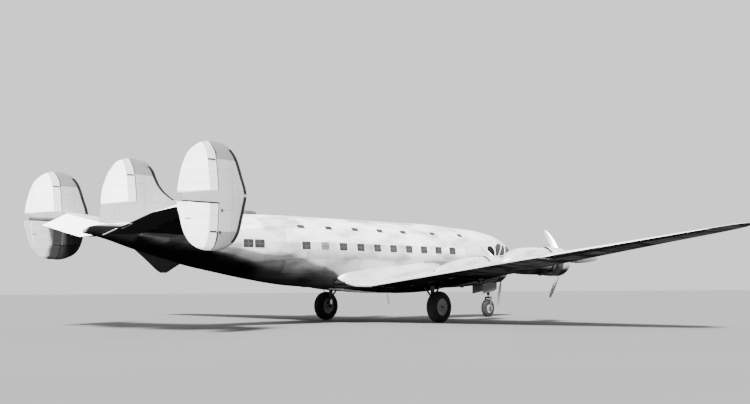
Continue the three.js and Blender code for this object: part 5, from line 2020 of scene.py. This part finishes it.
@dataclass
class Fin:
    """One fin with its rudders, boots and tabs."""

    name: str
    offset: float
    rows: Sequence[Sequence[float]]
    rudders: tuple[Rudder, ...]
    caps: tuple[float, ...]
    boots: tuple[Pair, ...]
    studs: tuple[Pair, ...] = ()
    stub: float = 0.0
    low: float = 0.0
    gap: float = 0.014
    cove: float = 0.035
    swing: float = 0.47
    boot_width: float = 0.2
    # height of the upper line of the tailplane's painted shadow on an end fin's inner face, and how far below
    # it is dark and darkest
    shadow_line: tuple[float, float, float] = (5.22, 0.2, 1.25)

    def __post_init__(self) -> None:
        """Makes the foil."""
        self.foil = Foil(self.rows, THIN_ROWS, lambda x, z, t: Vector((x, self.offset + t, z)))

    def build(self) -> None:
        """Builds all pieces of the fin."""
        self.fixed_part()
        for rudder in self.rudders:
            self.rudder_part(rudder)
        self.boot_strips()
        if self.stub:
            self.stub_slit_shadow()

    def stub_slit_shadow(self) -> None:
        """Builds a black strip on the underside of the stub, over the lower rudder: a painted shadow in the
        slit.
        """
        lower = self.rudders[0]
        top = lower.high - 0.003
        stations = spread(lower.hinge[1][0] - 0.05, self.stub + 0.05, 10)
        shell = Shell()
        self.foil.panel(shell, [top - 0.034, top], lambda z: stations, lift=-0.003)
        # a painted shadow, in black rubber
        shell.piece(f"{self.name}_stub_seal", BOOT)

    def _back(self, height: float) -> float:
        """Gives where the fixed part ends.

        Args:
            height: A height.

        Returns:
            The station of its rear edge, with room for the rudder's swing.
        """
        leading, trailing = self.foil.chord(height)
        for rudder in self.rudders:
            if rudder.low <= height <= rudder.high:
                front = rudder.front(height)
                room = self.cove
                if not rudder.on_hinge(height):
                    behind = abs(rudder.hinge_station(height) - front)
                    half = self.foil.heights(height, front)[0]
                    room = max(0.0, self.swing * half - 0.1 * behind) + self.gap
                return held(front + room, trailing, leading)
        return max(trailing, self.stub)

    def _painted_shade(self, place: Vector) -> float:
        """Gives how far a point lies below the upper line of the tailplane's shadow painted on an end fin's
        inner face.

        Args:
            place: A point of the skin.

        Returns:
            0 at the line and 1 where it is dark; -1 on other faces.
        """
        line, depth, most = self.shadow_line
        inner = abs(place.y) < abs(self.offset) - 0.002
        return min((line - place.z) / depth, most) if inner else -1.0

    def fixed_part(self) -> None:
        """Builds the fixed part, its bands at tip and foot in a darker sheet."""
        marks = [row[0] for row in self.rows if row[0] >= self.low] + [self.low or self.rows[0][0]]
        for rudder in self.rudders:
            marks += [rudder.low - 1e-4, rudder.low, rudder.high, rudder.high + 1e-4]
            marks += [z for z, _ in rudder.edge]
        marks += list(self.caps)
        foot, tip = max(self.low, self.rows[0][0]), self.rows[-1][0]
        spans = [z for z in between(marks, 0.16) if foot <= z <= tip]

        def stations(height: float) -> list[float]:
            """Places the chord's lines, close together at the front."""
            leading, _ = self.foil.chord(height)
            return clustered(leading, self._back(height), 16)

        low_cap, high_cap = self.caps
        for capped in (False, True):
            shell = Shell()

            def keep(height: float, column: int) -> bool:
                """Tells whether a height is in the sheets that are being built."""
                return (height > high_cap or height < low_cap) == capped

            # the end fins' inner faces carry the painted shadow of the tailplane
            self.foil.panel(shell, spans, stations, keep, {16: self.cove}, painted_shade=self._painted_shade)
            if shell.faces:
                name = f"{self.name}_caps" if capped else f"{self.name}_skin"
                shell.piece(name, FIN_CAP if capped else FIN_SKIN, replaces=[] if capped else [self.name])

    def rudder_part(self, rudder: Rudder) -> None:
        """Builds one rudder and its tab.

        Args:
            rudder: The rudder.
        """
        (tab_low_x, tab_low), (tab_high_x, tab_high) = rudder.tab

        def tab_line(height: float) -> float:
            """Gives the station of the tab's front edge."""
            return mix(tab_low_x, tab_high_x, held((height - tab_low) / (tab_high - tab_low)))

        def stations(height: float) -> list[float]:
            """Places the chord's lines, with a slit ahead of the tab.

            Args:
                height: A height.

            Returns:
                Their stations, from front to back.
            """
            front = rudder.front(height) - (0.0 if rudder.on_hinge(height) else self.gap)
            trailing = self.foil.chord(height)[1]
            front = max(front, trailing + 0.002)
            line = held(tab_line(height), trailing + 0.001, front - 0.0005)
            return spread(front, line, 8) + [mix(line, trailing, share) for share in (0.05, 0.5, 1.0)]

        low, high = rudder.low + self.gap, rudder.high - rudder.slit
        inner = [z for z, _ in rudder.edge if low < z < high]
        spans = between([low, high, tab_low, tab_high, *inner], 0.14)
        shell = Shell()
        self.foil.panel(shell, spans, stations, lambda z, c: c < 8 or not tab_low < z < tab_high)
        nose = Shell()
        hinge_low, hinge_high = rudder.hinge[0][1] + self.gap, rudder.hinge[1][1] - rudder.slit
        self.foil.panel(nose, between([hinge_low, hinge_high], 0.2),
                        lambda z: [rudder.front(z), rudder.front(z) - 0.01], arcs={0: 0.0}, lift=-0.002)
        body = f"{rudder.name}_body"
        shell.piece(f"{rudder.name}_skin", RUDDER_DOPE, body, [rudder.name])
        nose.piece(f"{rudder.name}_nose", SEALANT, body)
        tab = Shell()
        self.foil.panel(tab, between([tab_low + 0.012, tab_high - 0.012], 0.2),
                        lambda z: [mix(tab_line(z), self.foil.chord(z)[1], s) for s in (0.1, 0.4, 0.7, 1.0)])
        tab.piece(f"{rudder.name}_tab", TAB_DOPE, body)
        arms = Shell()
        for height, length in rudder.arms:
            self._rod(arms, rudder.front(height) - 0.045, rudder.front(height) - length, height, 0.022)
        if rudder.horn:
            self._rod(arms, tab_line(rudder.horn) + 0.2, tab_line(rudder.horn) - 0.03, rudder.horn, 0.012)
        arms.piece(f"{rudder.name}_arms", SOOT, body)

    def _rod(self, shell: Shell, front: float, back: float, height: float, radius: float) -> None:
        """Adds a rod along the chord that lies on each face.

        Args:
            shell: The mesh that they go into.
            front: The station of its front end.
            back: The station of its back end.
            height: Its height.
            radius: Its radius.
        """
        for face in (-1, 1):
            ends = [
                Vector((x, self.offset + face * (self.foil.heights(height, x)[0] + 0.6 * radius), height))
                for x in (front, back)
            ]
            shell.bar(ends[0], ends[1], radius, sides=8)

    def boot_strips(self) -> None:
        """Builds the black rubber boots on the leading edge, and the studs on the faces."""
        shell = Shell()

        def stations(height: float) -> list[float]:
            """Places the lines across a boot."""
            leading, _ = self.foil.chord(height)
            return clustered(leading, leading - self.boot_width, 7)

        for ends in self.boots:
            self.foil.panel(shell, between(ends, 0.12), stations, lift=0.006)
        shell.piece(f"{self.name}_boots", BOOT)
        if not self.studs:
            return
        studs = Shell()
        for station, height in self.studs:
            for face in (-1, 1):
                skin = face * self.foil.heights(height, station)[0]
                base = Vector((station, self.offset + skin * 0.9, height))
                out = Vector((0.0, float(face), 0.0))
                studs.lathe(base, out, [(0.0, 0.055), (0.03, 0.055), (0.04, 0.04)], 14)
        studs.piece(f"{self.name}_studs", SOOT)


def end_fin(side: Side) -> Fin:
    """Describes an end fin.

    Args:
        side: Its side.

    Returns:
        The fin.
    """
    word = side.word
    upper = Rudder(
        f"{word}_upper_rudder",
        ((2.145, 5.57), (2.045, 6.77)),
        ((5.355, 0.57), (5.57, 2.145), (6.77, 2.045), (7.05, 2.01), (7.26, 1.89), (7.45, 1.757)),
        5.355, 7.45, ((0.63, 5.42), (0.78, 6.61)), arms=((6.75, 0.37),),
    )
    lower = Rudder(
        f"{word}_lower_rudder",
        ((2.13, 3.96), (2.163, 5.095)),
        ((3.24, 1.89), (3.42, 2.02), (3.65, 2.09), (3.96, 2.13), (5.095, 2.163), (5.1, 0.57)),
        3.24, 5.1, ((0.86, 3.91), (0.66, 5.03)), arms=((3.975, 0.34),), horn=4.43, slit=0.06,
    )
    return Fin(f"{word}_end_fin", side.value * 6.35, END_FIN_ROWS, (lower, upper), caps=(3.98, 6.77),
               boots=((3.58, 5.38), (5.5, 7.2)), studs=((2.24, 3.96), (2.32, 4.8)), stub=0.57)


def centre_fin() -> Fin:
    """Describes the centre fin.

    Returns:
        The fin.
    """
    rudder = Rudder(
        "centre_rudder",
        ((2.4, 5.605), (2.3, 6.77)),
        ((5.25, 0.0), (5.605, 2.4), (6.77, 2.3), (7.1, 2.24), (7.29, 2.15), (7.475, 2.055)),
        5.365, 7.475, ((0.92, 5.7), (1.04, 6.69)), arms=((6.75, 0.37),),
    )
    return Fin("centre_fin", 0.0, CENTRE_FIN_ROWS, (rudder,), caps=(4.4, 6.77), boots=((5.78, 7.2),), low=4.6)


@dataclass
class Stabiliser:
    """One stabiliser with its elevator and trim tab."""

    side: Side
    rise: float = 0.1908
    height: float = 4.17
    hinge: float = 2.2
    droop: float = 9.5
    inner: float = 0.72
    outer: float = 6.15
    corner: float = 4.5
    tab: Pair = (1.9, 2.8)
    tab_hinge: float = 0.6
    tab_droop: float = 24.0
    edge: float = 0.3
    gap: float = 0.014
    cove: float = 0.045
    # where the fixed part starts and ends
    ends: Pair = (0.35, 6.3)
    # where the slant at the elevator's inner end stops, how far it reaches, and the station of its foot
    root: float = 0.9
    slant: float = 0.18
    foot: float = 0.38

    def __post_init__(self) -> None:
        """Makes the foil."""
        self.foil = Foil(STABILISER_ROWS, THIN_ROWS, self.place)

    def place(self, station: float, span: float, height: float) -> Vector:
        """Gives the place of a station, distance from the centreline and height above the plane."""
        up = Vector((0.0, -self.side.value * self.rise, 1.0)).normalized()
        return Vector((station, self.side.value * span, self.height + self.rise * span)) + up * height

    def drooped(self, station: float, span: float, height: float) -> Vector:
        """Gives the place of a point of the elevator, which droops about its hinge.

        Args:
            station: Its station before the droop.
            span: Its distance from the centreline.
            height: Its height above the chord, thinned towards the rear edge.

        Returns:
            The place.
        """
        turn = math.radians(self.droop)
        thin = min(1.0, max(0.15, (station - self._back(span)) / self.edge))
        back, up = self.hinge - station, height * thin
        return self.place(
            self.hinge - back * math.cos(turn) + up * math.sin(-turn),
            span,
            up * math.cos(turn) - back * math.sin(turn),
        )

    def turned_down(self, station: float, span: float, height: float) -> Vector:
        """Gives the place of a point of the tab, which is turned down further.

        Args:
            station: Its station before the turn.
            span: Its distance from the centreline.
            height: Its height above the chord.

        Returns:
            The place.
        """
        turn = math.radians(self.tab_droop)
        back = self.tab_hinge - station
        return self.drooped(
            self.tab_hinge - back * math.cos(turn) - height * math.sin(turn),
            span,
            height * math.cos(turn) - back * math.sin(turn),
        )

    def _back(self, span: float) -> float:
        """Gives the elevator's rear edge, cut off at both ends.

        Args:
            span: A distance from the centreline.

        Returns:
            The edge's station.
        """
        trailing = self.foil.chord(span)[1]
        if span > self.corner:
            share = (span - self.corner + self.gap) / (self.outer - self.corner)
            return max(trailing, mix(self.foot, self.hinge, share))
        if span < self.root:
            return max(trailing, mix(self.hinge, self.foot, (span - self.inner) / self.slant))
        return trailing

    def build(self) -> None:
        """Builds the fixed part and the elevator."""
        word = self.side.word
        shell = Shell()

        def stations(span: float) -> list[float]:
            """Places the chord's lines, close together at the front."""
            return clustered(self.foil.chord(span)[0], self.hinge + self.cove, 16)

        self.foil.panel(shell, between([*self.ends, self.root], 0.45), stations, arcs={16: self.cove})
        shell.piece(f"{word}_stabiliser_skin", TAIL_SKIN, replaces=[f"{word}_stabiliser"])
        self.elevator()

    def elevator(self) -> None:
        """Builds the elevator and its tab."""
        word = self.side.word
        moved = Foil(STABILISER_ROWS, THIN_ROWS, self.drooped)
        tab = self.tab
        low, high = self.inner + self.gap, self.outer - self.gap

        def stations(span: float) -> list[float]:
            """Places the chord's lines, with a slit ahead of the tab.

            Args:
                span: Position along the span.

            Returns:
                Their stations, from front to back.
            """
            end = min(self._back(span), self.hinge - 0.01)
            line = held(self.tab_hinge + 0.02, end + 0.001, self.hinge - 0.006)
            return spread(self.hinge, line, 9) + [mix(line, end, share) for share in (0.06, 0.5, 1.0)]

        spans = between([low, self.root, *tab, self.corner, high], 0.3)
        shell = Shell()
        moved.panel(shell, spans, stations, lambda s, c: c < 9 or not tab[0] < s < tab[1], {0: 0.0})
        body = f"{word}_elevator_body"
        shell.piece(f"{word}_elevator_skin", DOPE, body, [f"{word}_elevator"])
        small = Shell()
        down = Foil(STABILISER_ROWS, THIN_ROWS, self.turned_down)
        down.panel(small, between([tab[0] + 0.012, tab[1] - 0.012], 0.4),
                   lambda s: spread(self.tab_hinge, self.foil.chord(s)[1], 4))
        small.piece(f"{word}_elevator_tab", DOPE, body)


@dataclass
class Tail:
    """Fins, stabilisers, dorsal fillet and skid."""

    hull: Hull

    def build(self) -> None:
        """Builds all pieces of the tail."""
        for side in Side:
            end_fin(side).build()
            Stabiliser(side).build()
        centre_fin().build()
        self.dorsal()
        self.skid()
        redress("aerial_fairing", DARK)

    def dorsal(self) -> None:
        """Builds the fillet ahead of the centre fin."""
        rows = Curve(DORSAL_ROWS)
        shell = Shell()
        rings = []
        for station in between([DORSAL_ROWS[-1][0], DORSAL_ROWS[0][0]], 0.25):
            top, half = rows.at(station)
            base = self.hull.at_angle(station, math.pi / 2).z - 0.12
            ring = []
            for t in spread(-1.0, 1.0, 12):
                rise = (1 - abs(t)) ** 1.6
                ring.append(Vector((station, half * t, mix(base, max(top, base + 0.01), rise))))
            rings.append(ring)
        shell.rings(rings)
        shell.piece("dorsal_fillet", FIN_DORSAL)

    def skid(self) -> None:
        """Builds the skid fin below the tail cone and its shoe."""
        foil = Foil(SKID_ROWS, THIN_ROWS, lambda x, z, t: Vector((x, t, z)))
        shell = Shell()
        foil.panel(shell, between([2.56, 3.5], 0.1), lambda z: clustered(*foil.chord(z), 14))
        shell.piece("tail_skid_skin", SKID_SKIN, replaces=["tail_skid"])
        shoe = Shell()
        shoe.block(Vector((3.7, -0.045, 2.52)), Vector((4.06, 0.045, 2.57)), 0.02)
        shoe.piece("tail_skid_shoe", ENAMEL)


# Landing gear
@dataclass
class Wheel:
    """A tyre on its hub."""

    name: str
    centre: Vector
    radius: float
    width: float
    body: str
    sides: int = 56
    bolts: int = 8
    # shares of the radius up to the tyre's bead, and of the width out to the hub's disc
    rim: float = 0.56
    disc: float = 0.36
    bolt_circle: float = 0.1

    def build(self) -> None:
        """Builds the grooved tyre and the hub with its brake."""
        axis = Vector((0.0, 1.0, 0.0))
        rim = self.radius * self.rim
        profile = []
        for i, turn in enumerate(spread(0.0, math.pi, 32)):
            across = -math.cos(turn)
            bulge = math.copysign(abs(across) ** 0.75, across) * self.width / 2
            reach = rim + (self.radius - rim) * abs(math.sin(turn)) ** 0.75
            groove = 0.012 if 10 < i < 22 and i % 3 == 1 else 0.0
            profile.append((bulge, reach - groove))
        tyre = Shell()
        tyre.lathe(self.centre, axis, profile + profile[:1], self.sides, cap=False)
        tyre.piece(f"{self.name}_tyre_tread", TYRE, self.body, [f"{self.name}_tyre"], crease=50.0)
        half = self.width * self.disc
        hub = Shell()
        disc = [(-half - 0.02, 0.064), (-half - 0.02, 0.13), (-half, 0.16), (-half + 0.03, rim * 0.55),
                (-half + 0.012, rim * 0.8), (-half, rim * 0.88), (-half, rim * 0.985), (-half * 0.8, rim)]
        disc += [(-d, r) for d, r in reversed(disc)]
        hub.lathe(self.centre, axis, disc + disc[:1], 40, cap=False)
        for turn in full_turn(self.bolts):
            out = Vector((math.cos(turn), 0.0, math.sin(turn)))
            for face in (-1, 1):
                base = self.centre + out * self.bolt_circle + axis * face * (half + 0.015)
                hub.bar(base, base + axis * face * 0.022, 0.012, sides=6)
        hub.piece(f"{self.name}_hub_disc", HUB_PAINT, self.body, [f"{self.name}_hub"])


@dataclass
class MainGear:
    """One main leg with its wheel; heights on the leg count from the axle."""

    side: Side
    station: float = 17.5
    wheel_side: float = 4.3
    leg_side: float = 3.88
    radius: float = 0.81
    width: float = 0.56
    gland: float = 0.36
    brace_foot: float = 0.42
    knee: float = 0.23
    top: float = 1.6

    def build(self) -> None:
        """Builds leg and wheel."""
        word = self.side.word
        centre = Vector((self.station, self.side.value * self.wheel_side, self.radius))
        Wheel(f"{word}_main", centre, self.radius, self.width, f"{word}_main_wheel").build()
        at = self._at
        leg = Shell()
        leg.bar(at(0, 0, self.gland), at(0, 0, self.top), 0.105, sides=24)
        for up in (self.gland, self.brace_foot, 0.9):
            leg.collar(at(0, 0, up), UP, 0.125, 0.06, 24)
        leg.bar(at(0, -0.12, 0), at(0, 0.1, 0), 0.1, sides=20)
        axle_end = self.wheel_side - self.leg_side + self.width / 2
        leg.bar(at(0, -0.11, 0), at(0, axle_end, 0), 0.06, sides=20)
        leg.bar(at(0, 0, self.brace_foot), at(0, -0.93, 1.44), 0.048, sides=14)
        leg.bar(at(0, 0, self.brace_foot), at(0.95, 0, 1.49), 0.048, sides=14)
        for low, high in (((-0.06, 0.06), (-self.knee, self.knee)), ((-self.knee, self.knee), (-0.06, 0.43))):
            for across in (-0.05, 0.05):
                leg.bar(at(low[0], across, low[1]), at(high[0], across, high[1]), 0.022, sides=8)
        leg.bar(at(-self.knee, -0.07, self.knee), at(-self.knee, 0.07, self.knee), 0.024, sides=10)
        leg.piece(f"{word}_leg_tubes", ENAMEL, replaces=[f"{word}_main_leg"])
        oleo = Shell()
        oleo.bar(at(0, 0, -0.06), at(0, 0, self.gland + 0.01), 0.073, sides=24)
        oleo.piece(f"{word}_oleo", CHROME)
        hose = Shell()
        path = [at(-0.12, 0.02, up) for up in spread(0.9, 0.5, 3)]
        hose.tube(path + [at(-0.2, 0.04, 0.35), at(-0.17, 0.06, 0.2), at(-0.09, 0.08, 0.08)], 0.012, 8)
        hose.piece(f"{word}_brake_hose", BOOT)

    def _at(self, ahead: float, outboard: float, up: float) -> Vector:
        """Gives a place counted from where the axle meets the leg."""
        return Vector((self.station + ahead, self.side.value * (self.leg_side + outboard), self.radius + up))


@dataclass
class NoseGear:
    """The nose leg, its steered fork, the wheel and the doors."""

    station: float = 27.08
    pivot: float = 27.15
    radius: float = 0.55
    width: float = 0.33
    collar: float = 1.33
    brace_foot: float = 0.33
    prong_room: float = 0.055
    crown_room: float = 0.09

    def build(self) -> None:
        """Builds all pieces of the nose gear."""
        centre = Vector((self.station, 0.0, self.radius))
        Wheel("nose", centre, self.radius, self.width, "nose_wheel", 44).build()
        at = self._at
        leg = Shell()
        leg.bar(at(0, 0, 0.002), at(0, 0, 0.9), 0.088, sides=20)
        leg.collar(at(0, 0, 0.05), UP, 0.105, 0.06, 20)
        leg.bar(at(0, 0, self.brace_foot), at(-0.85, 0, 0.92), 0.042)
        for side in Side:
            leg.bar(at(0, side.value * 0.06, self.brace_foot), at(-0.04, side.value * 0.38, 0.97), 0.036)
        leg.piece("nose_leg_tubes", ENAMEL, replaces=["nose_leg"])
        self.fork()
        for side in Side:
            redress(f"{side.word}_nose_door", DOOR_SKIN)

    def fork(self) -> None:
        """Builds the fork with its axle, and the chrome strut that it turns on."""
        half = self.width / 2 + self.prong_room
        crown = self.radius * 2 + self.crown_room
        fork = Shell()

        def across(station: float, height: float, reach: float, radius: float) -> None:
            """Adds a bar from one side of the fork to the other."""
            fork.bar(Vector((station, -reach, height)), Vector((station, reach, height)), radius, sides=16)

        across(self.pivot, crown, half + 0.02, 0.058)
        fork.collar(Vector((self.pivot, 0, crown - 0.06)), UP, 0.085, 0.11, 20)
        for side in (-1, 1):
            foot = Vector((self.station, side * half, self.radius))
            fork.bar(Vector((self.pivot, side * half, crown)), foot, 0.046, 0.042, 14)
            fork.lathe(Vector((self.station, side * (half - 0.04), self.radius)), Vector((0, float(side), 0)),
                       [(0.0, 0.075), (0.01, 0.085), (0.07, 0.085), (0.08, 0.07)], 18)
        across(self.station, self.radius, half + 0.04, 0.06)
        fork.piece("nose_fork_tubes", ENAMEL, "nose_steering", ["nose_fork"])
        strut = Shell()
        strut.bar(Vector((self.pivot, 0, crown)), Vector((self.pivot, 0, self.collar)), 0.066, sides=20)
        strut.piece("nose_strut", CHROME, "nose_steering")

    def _at(self, ahead: float, left: float, up: float) -> Vector:
        """Gives a place counted from the collar that the fork turns in."""
        return Vector((self.pivot + ahead, left, self.collar + up))


# Studio
@dataclass(frozen=True)
class Studio:
    """Camera, floor and lights."""

    camera: tuple[float, float, float] = (-18.775, -35.643, 1.729)
    yaw: float = 44.708
    pitch: float = 5.386
    roll: float = -0.384
    focal: float = 927.154
    width: float = 750.0
    sensor: float = 36.0
    floor_radius: float = 260.0
    floor_sides: int = 48
    clip: Pair = (0.05, 600.0)
    # the surround's lowest and highest strength, and the cosines from the glow where they are reached
    surround: Pair = (0.5, 1.15)
    glow_reach: Pair = (-0.25, 0.6)
    glow: tuple[float, float, float] = (0.64, 0.64, 0.42)
    key: float = 26.0
    key_angle: float = 10.0
    key_from: tuple[float, float, float] = (-0.72, -0.62, 0.8)

    def set_camera(self) -> None:
        """Places the camera where the photo was taken from."""
        data = bpy.data.cameras.new("camera")
        data.sensor_width = self.sensor
        data.lens = self.focal / self.width * self.sensor
        data.clip_start, data.clip_end = self.clip
        holder = bpy.data.objects.new("camera", data)
        yaw, pitch, roll = (math.radians(v) for v in (self.yaw, self.pitch, self.roll))
        forward = Vector((math.cos(yaw), math.sin(yaw), 0.0))
        right = Vector((math.sin(yaw), -math.cos(yaw), 0.0))
        look = forward * math.cos(pitch) + Vector((0, 0, math.sin(pitch)))
        up = Vector((0, 0, math.cos(pitch))) - forward * math.sin(pitch)
        right_rolled = right * math.cos(roll) + up * math.sin(roll)
        up_rolled = up * math.cos(roll) - right * math.sin(roll)
        turn = Matrix((right_rolled, up_rolled, -look)).transposed()
        holder.matrix_world = Matrix.Translation(to_model(Vector(self.camera))) @ turn.to_4x4()
        bpy.context.scene.collection.objects.link(holder)
        bpy.context.scene.camera = holder

    def set_floor(self) -> None:
        """Lays the pale floor."""
        mesh = bpy.data.meshes.new("floor")
        reach = self.floor_radius
        corners = [(reach * math.cos(t), reach * math.sin(t), 0.0) for t in full_turn(self.floor_sides)]
        mesh.from_pydata(corners, [], [tuple(range(self.floor_sides))])
        mesh.materials.append(FLOOR.material())
        floor = bpy.data.objects.new("floor", mesh)
        bpy.context.scene.collection.objects.link(floor)

    def set_lights(self) -> None:
        """Sets a pale surround, brightest behind the airliner, and a broad light above its right rear."""
        world = bpy.data.worlds.new("studio")
        bpy.context.scene.world = world
        world.use_nodes = True
        tree = world.node_tree
        tree.nodes["Background"].inputs["Color"].default_value = (1.0, 1.0, 1.0, 1.0)
        place = tree.nodes.new("ShaderNodeTexCoord")
        toward = tree.nodes.new("ShaderNodeVectorMath")
        toward.operation = "DOT_PRODUCT"
        toward.inputs[1].default_value = self.glow
        level = tree.nodes.new("ShaderNodeMapRange")
        level.interpolation_type = "SMOOTHSTEP"
        names = ("From Min", "From Max", "To Min", "To Max")
        for name, value in zip(names, (*self.glow_reach, *self.surround)):
            level.inputs[name].default_value = value
        tree.links.new(place.outputs["Generated"], toward.inputs[0])
        tree.links.new(toward.outputs["Value"], level.inputs["Value"])
        tree.links.new(level.outputs["Result"], tree.nodes["Background"].inputs["Strength"])
        data = bpy.data.lights.new("key", "SUN")
        data.energy = self.key
        data.angle = math.radians(self.key_angle)
        lamp = bpy.data.objects.new("key", data)
        lamp.rotation_euler = Vector(self.key_from).to_track_quat("Z", "Y").to_euler()
        bpy.context.scene.collection.objects.link(lamp)


def main() -> None:
    """Builds the airliner and its studio in order."""
    logging.basicConfig(level=logging.INFO, format="%(name)s: %(message)s")
    studio = Studio()
    studio.set_camera()
    studio.set_floor()
    studio.set_lights()
    hull = Hull()
    Fuselage(hull).build()
    for side in Side:
        Wing(side, hull).build()
    for place in ENGINE_PLACES:
        PowerUnit(place).build()
    Tail(hull).build()
    for side in Side:
        MainGear(side).build()
    NoseGear().build()


if __name__ == "__main__":
    main()
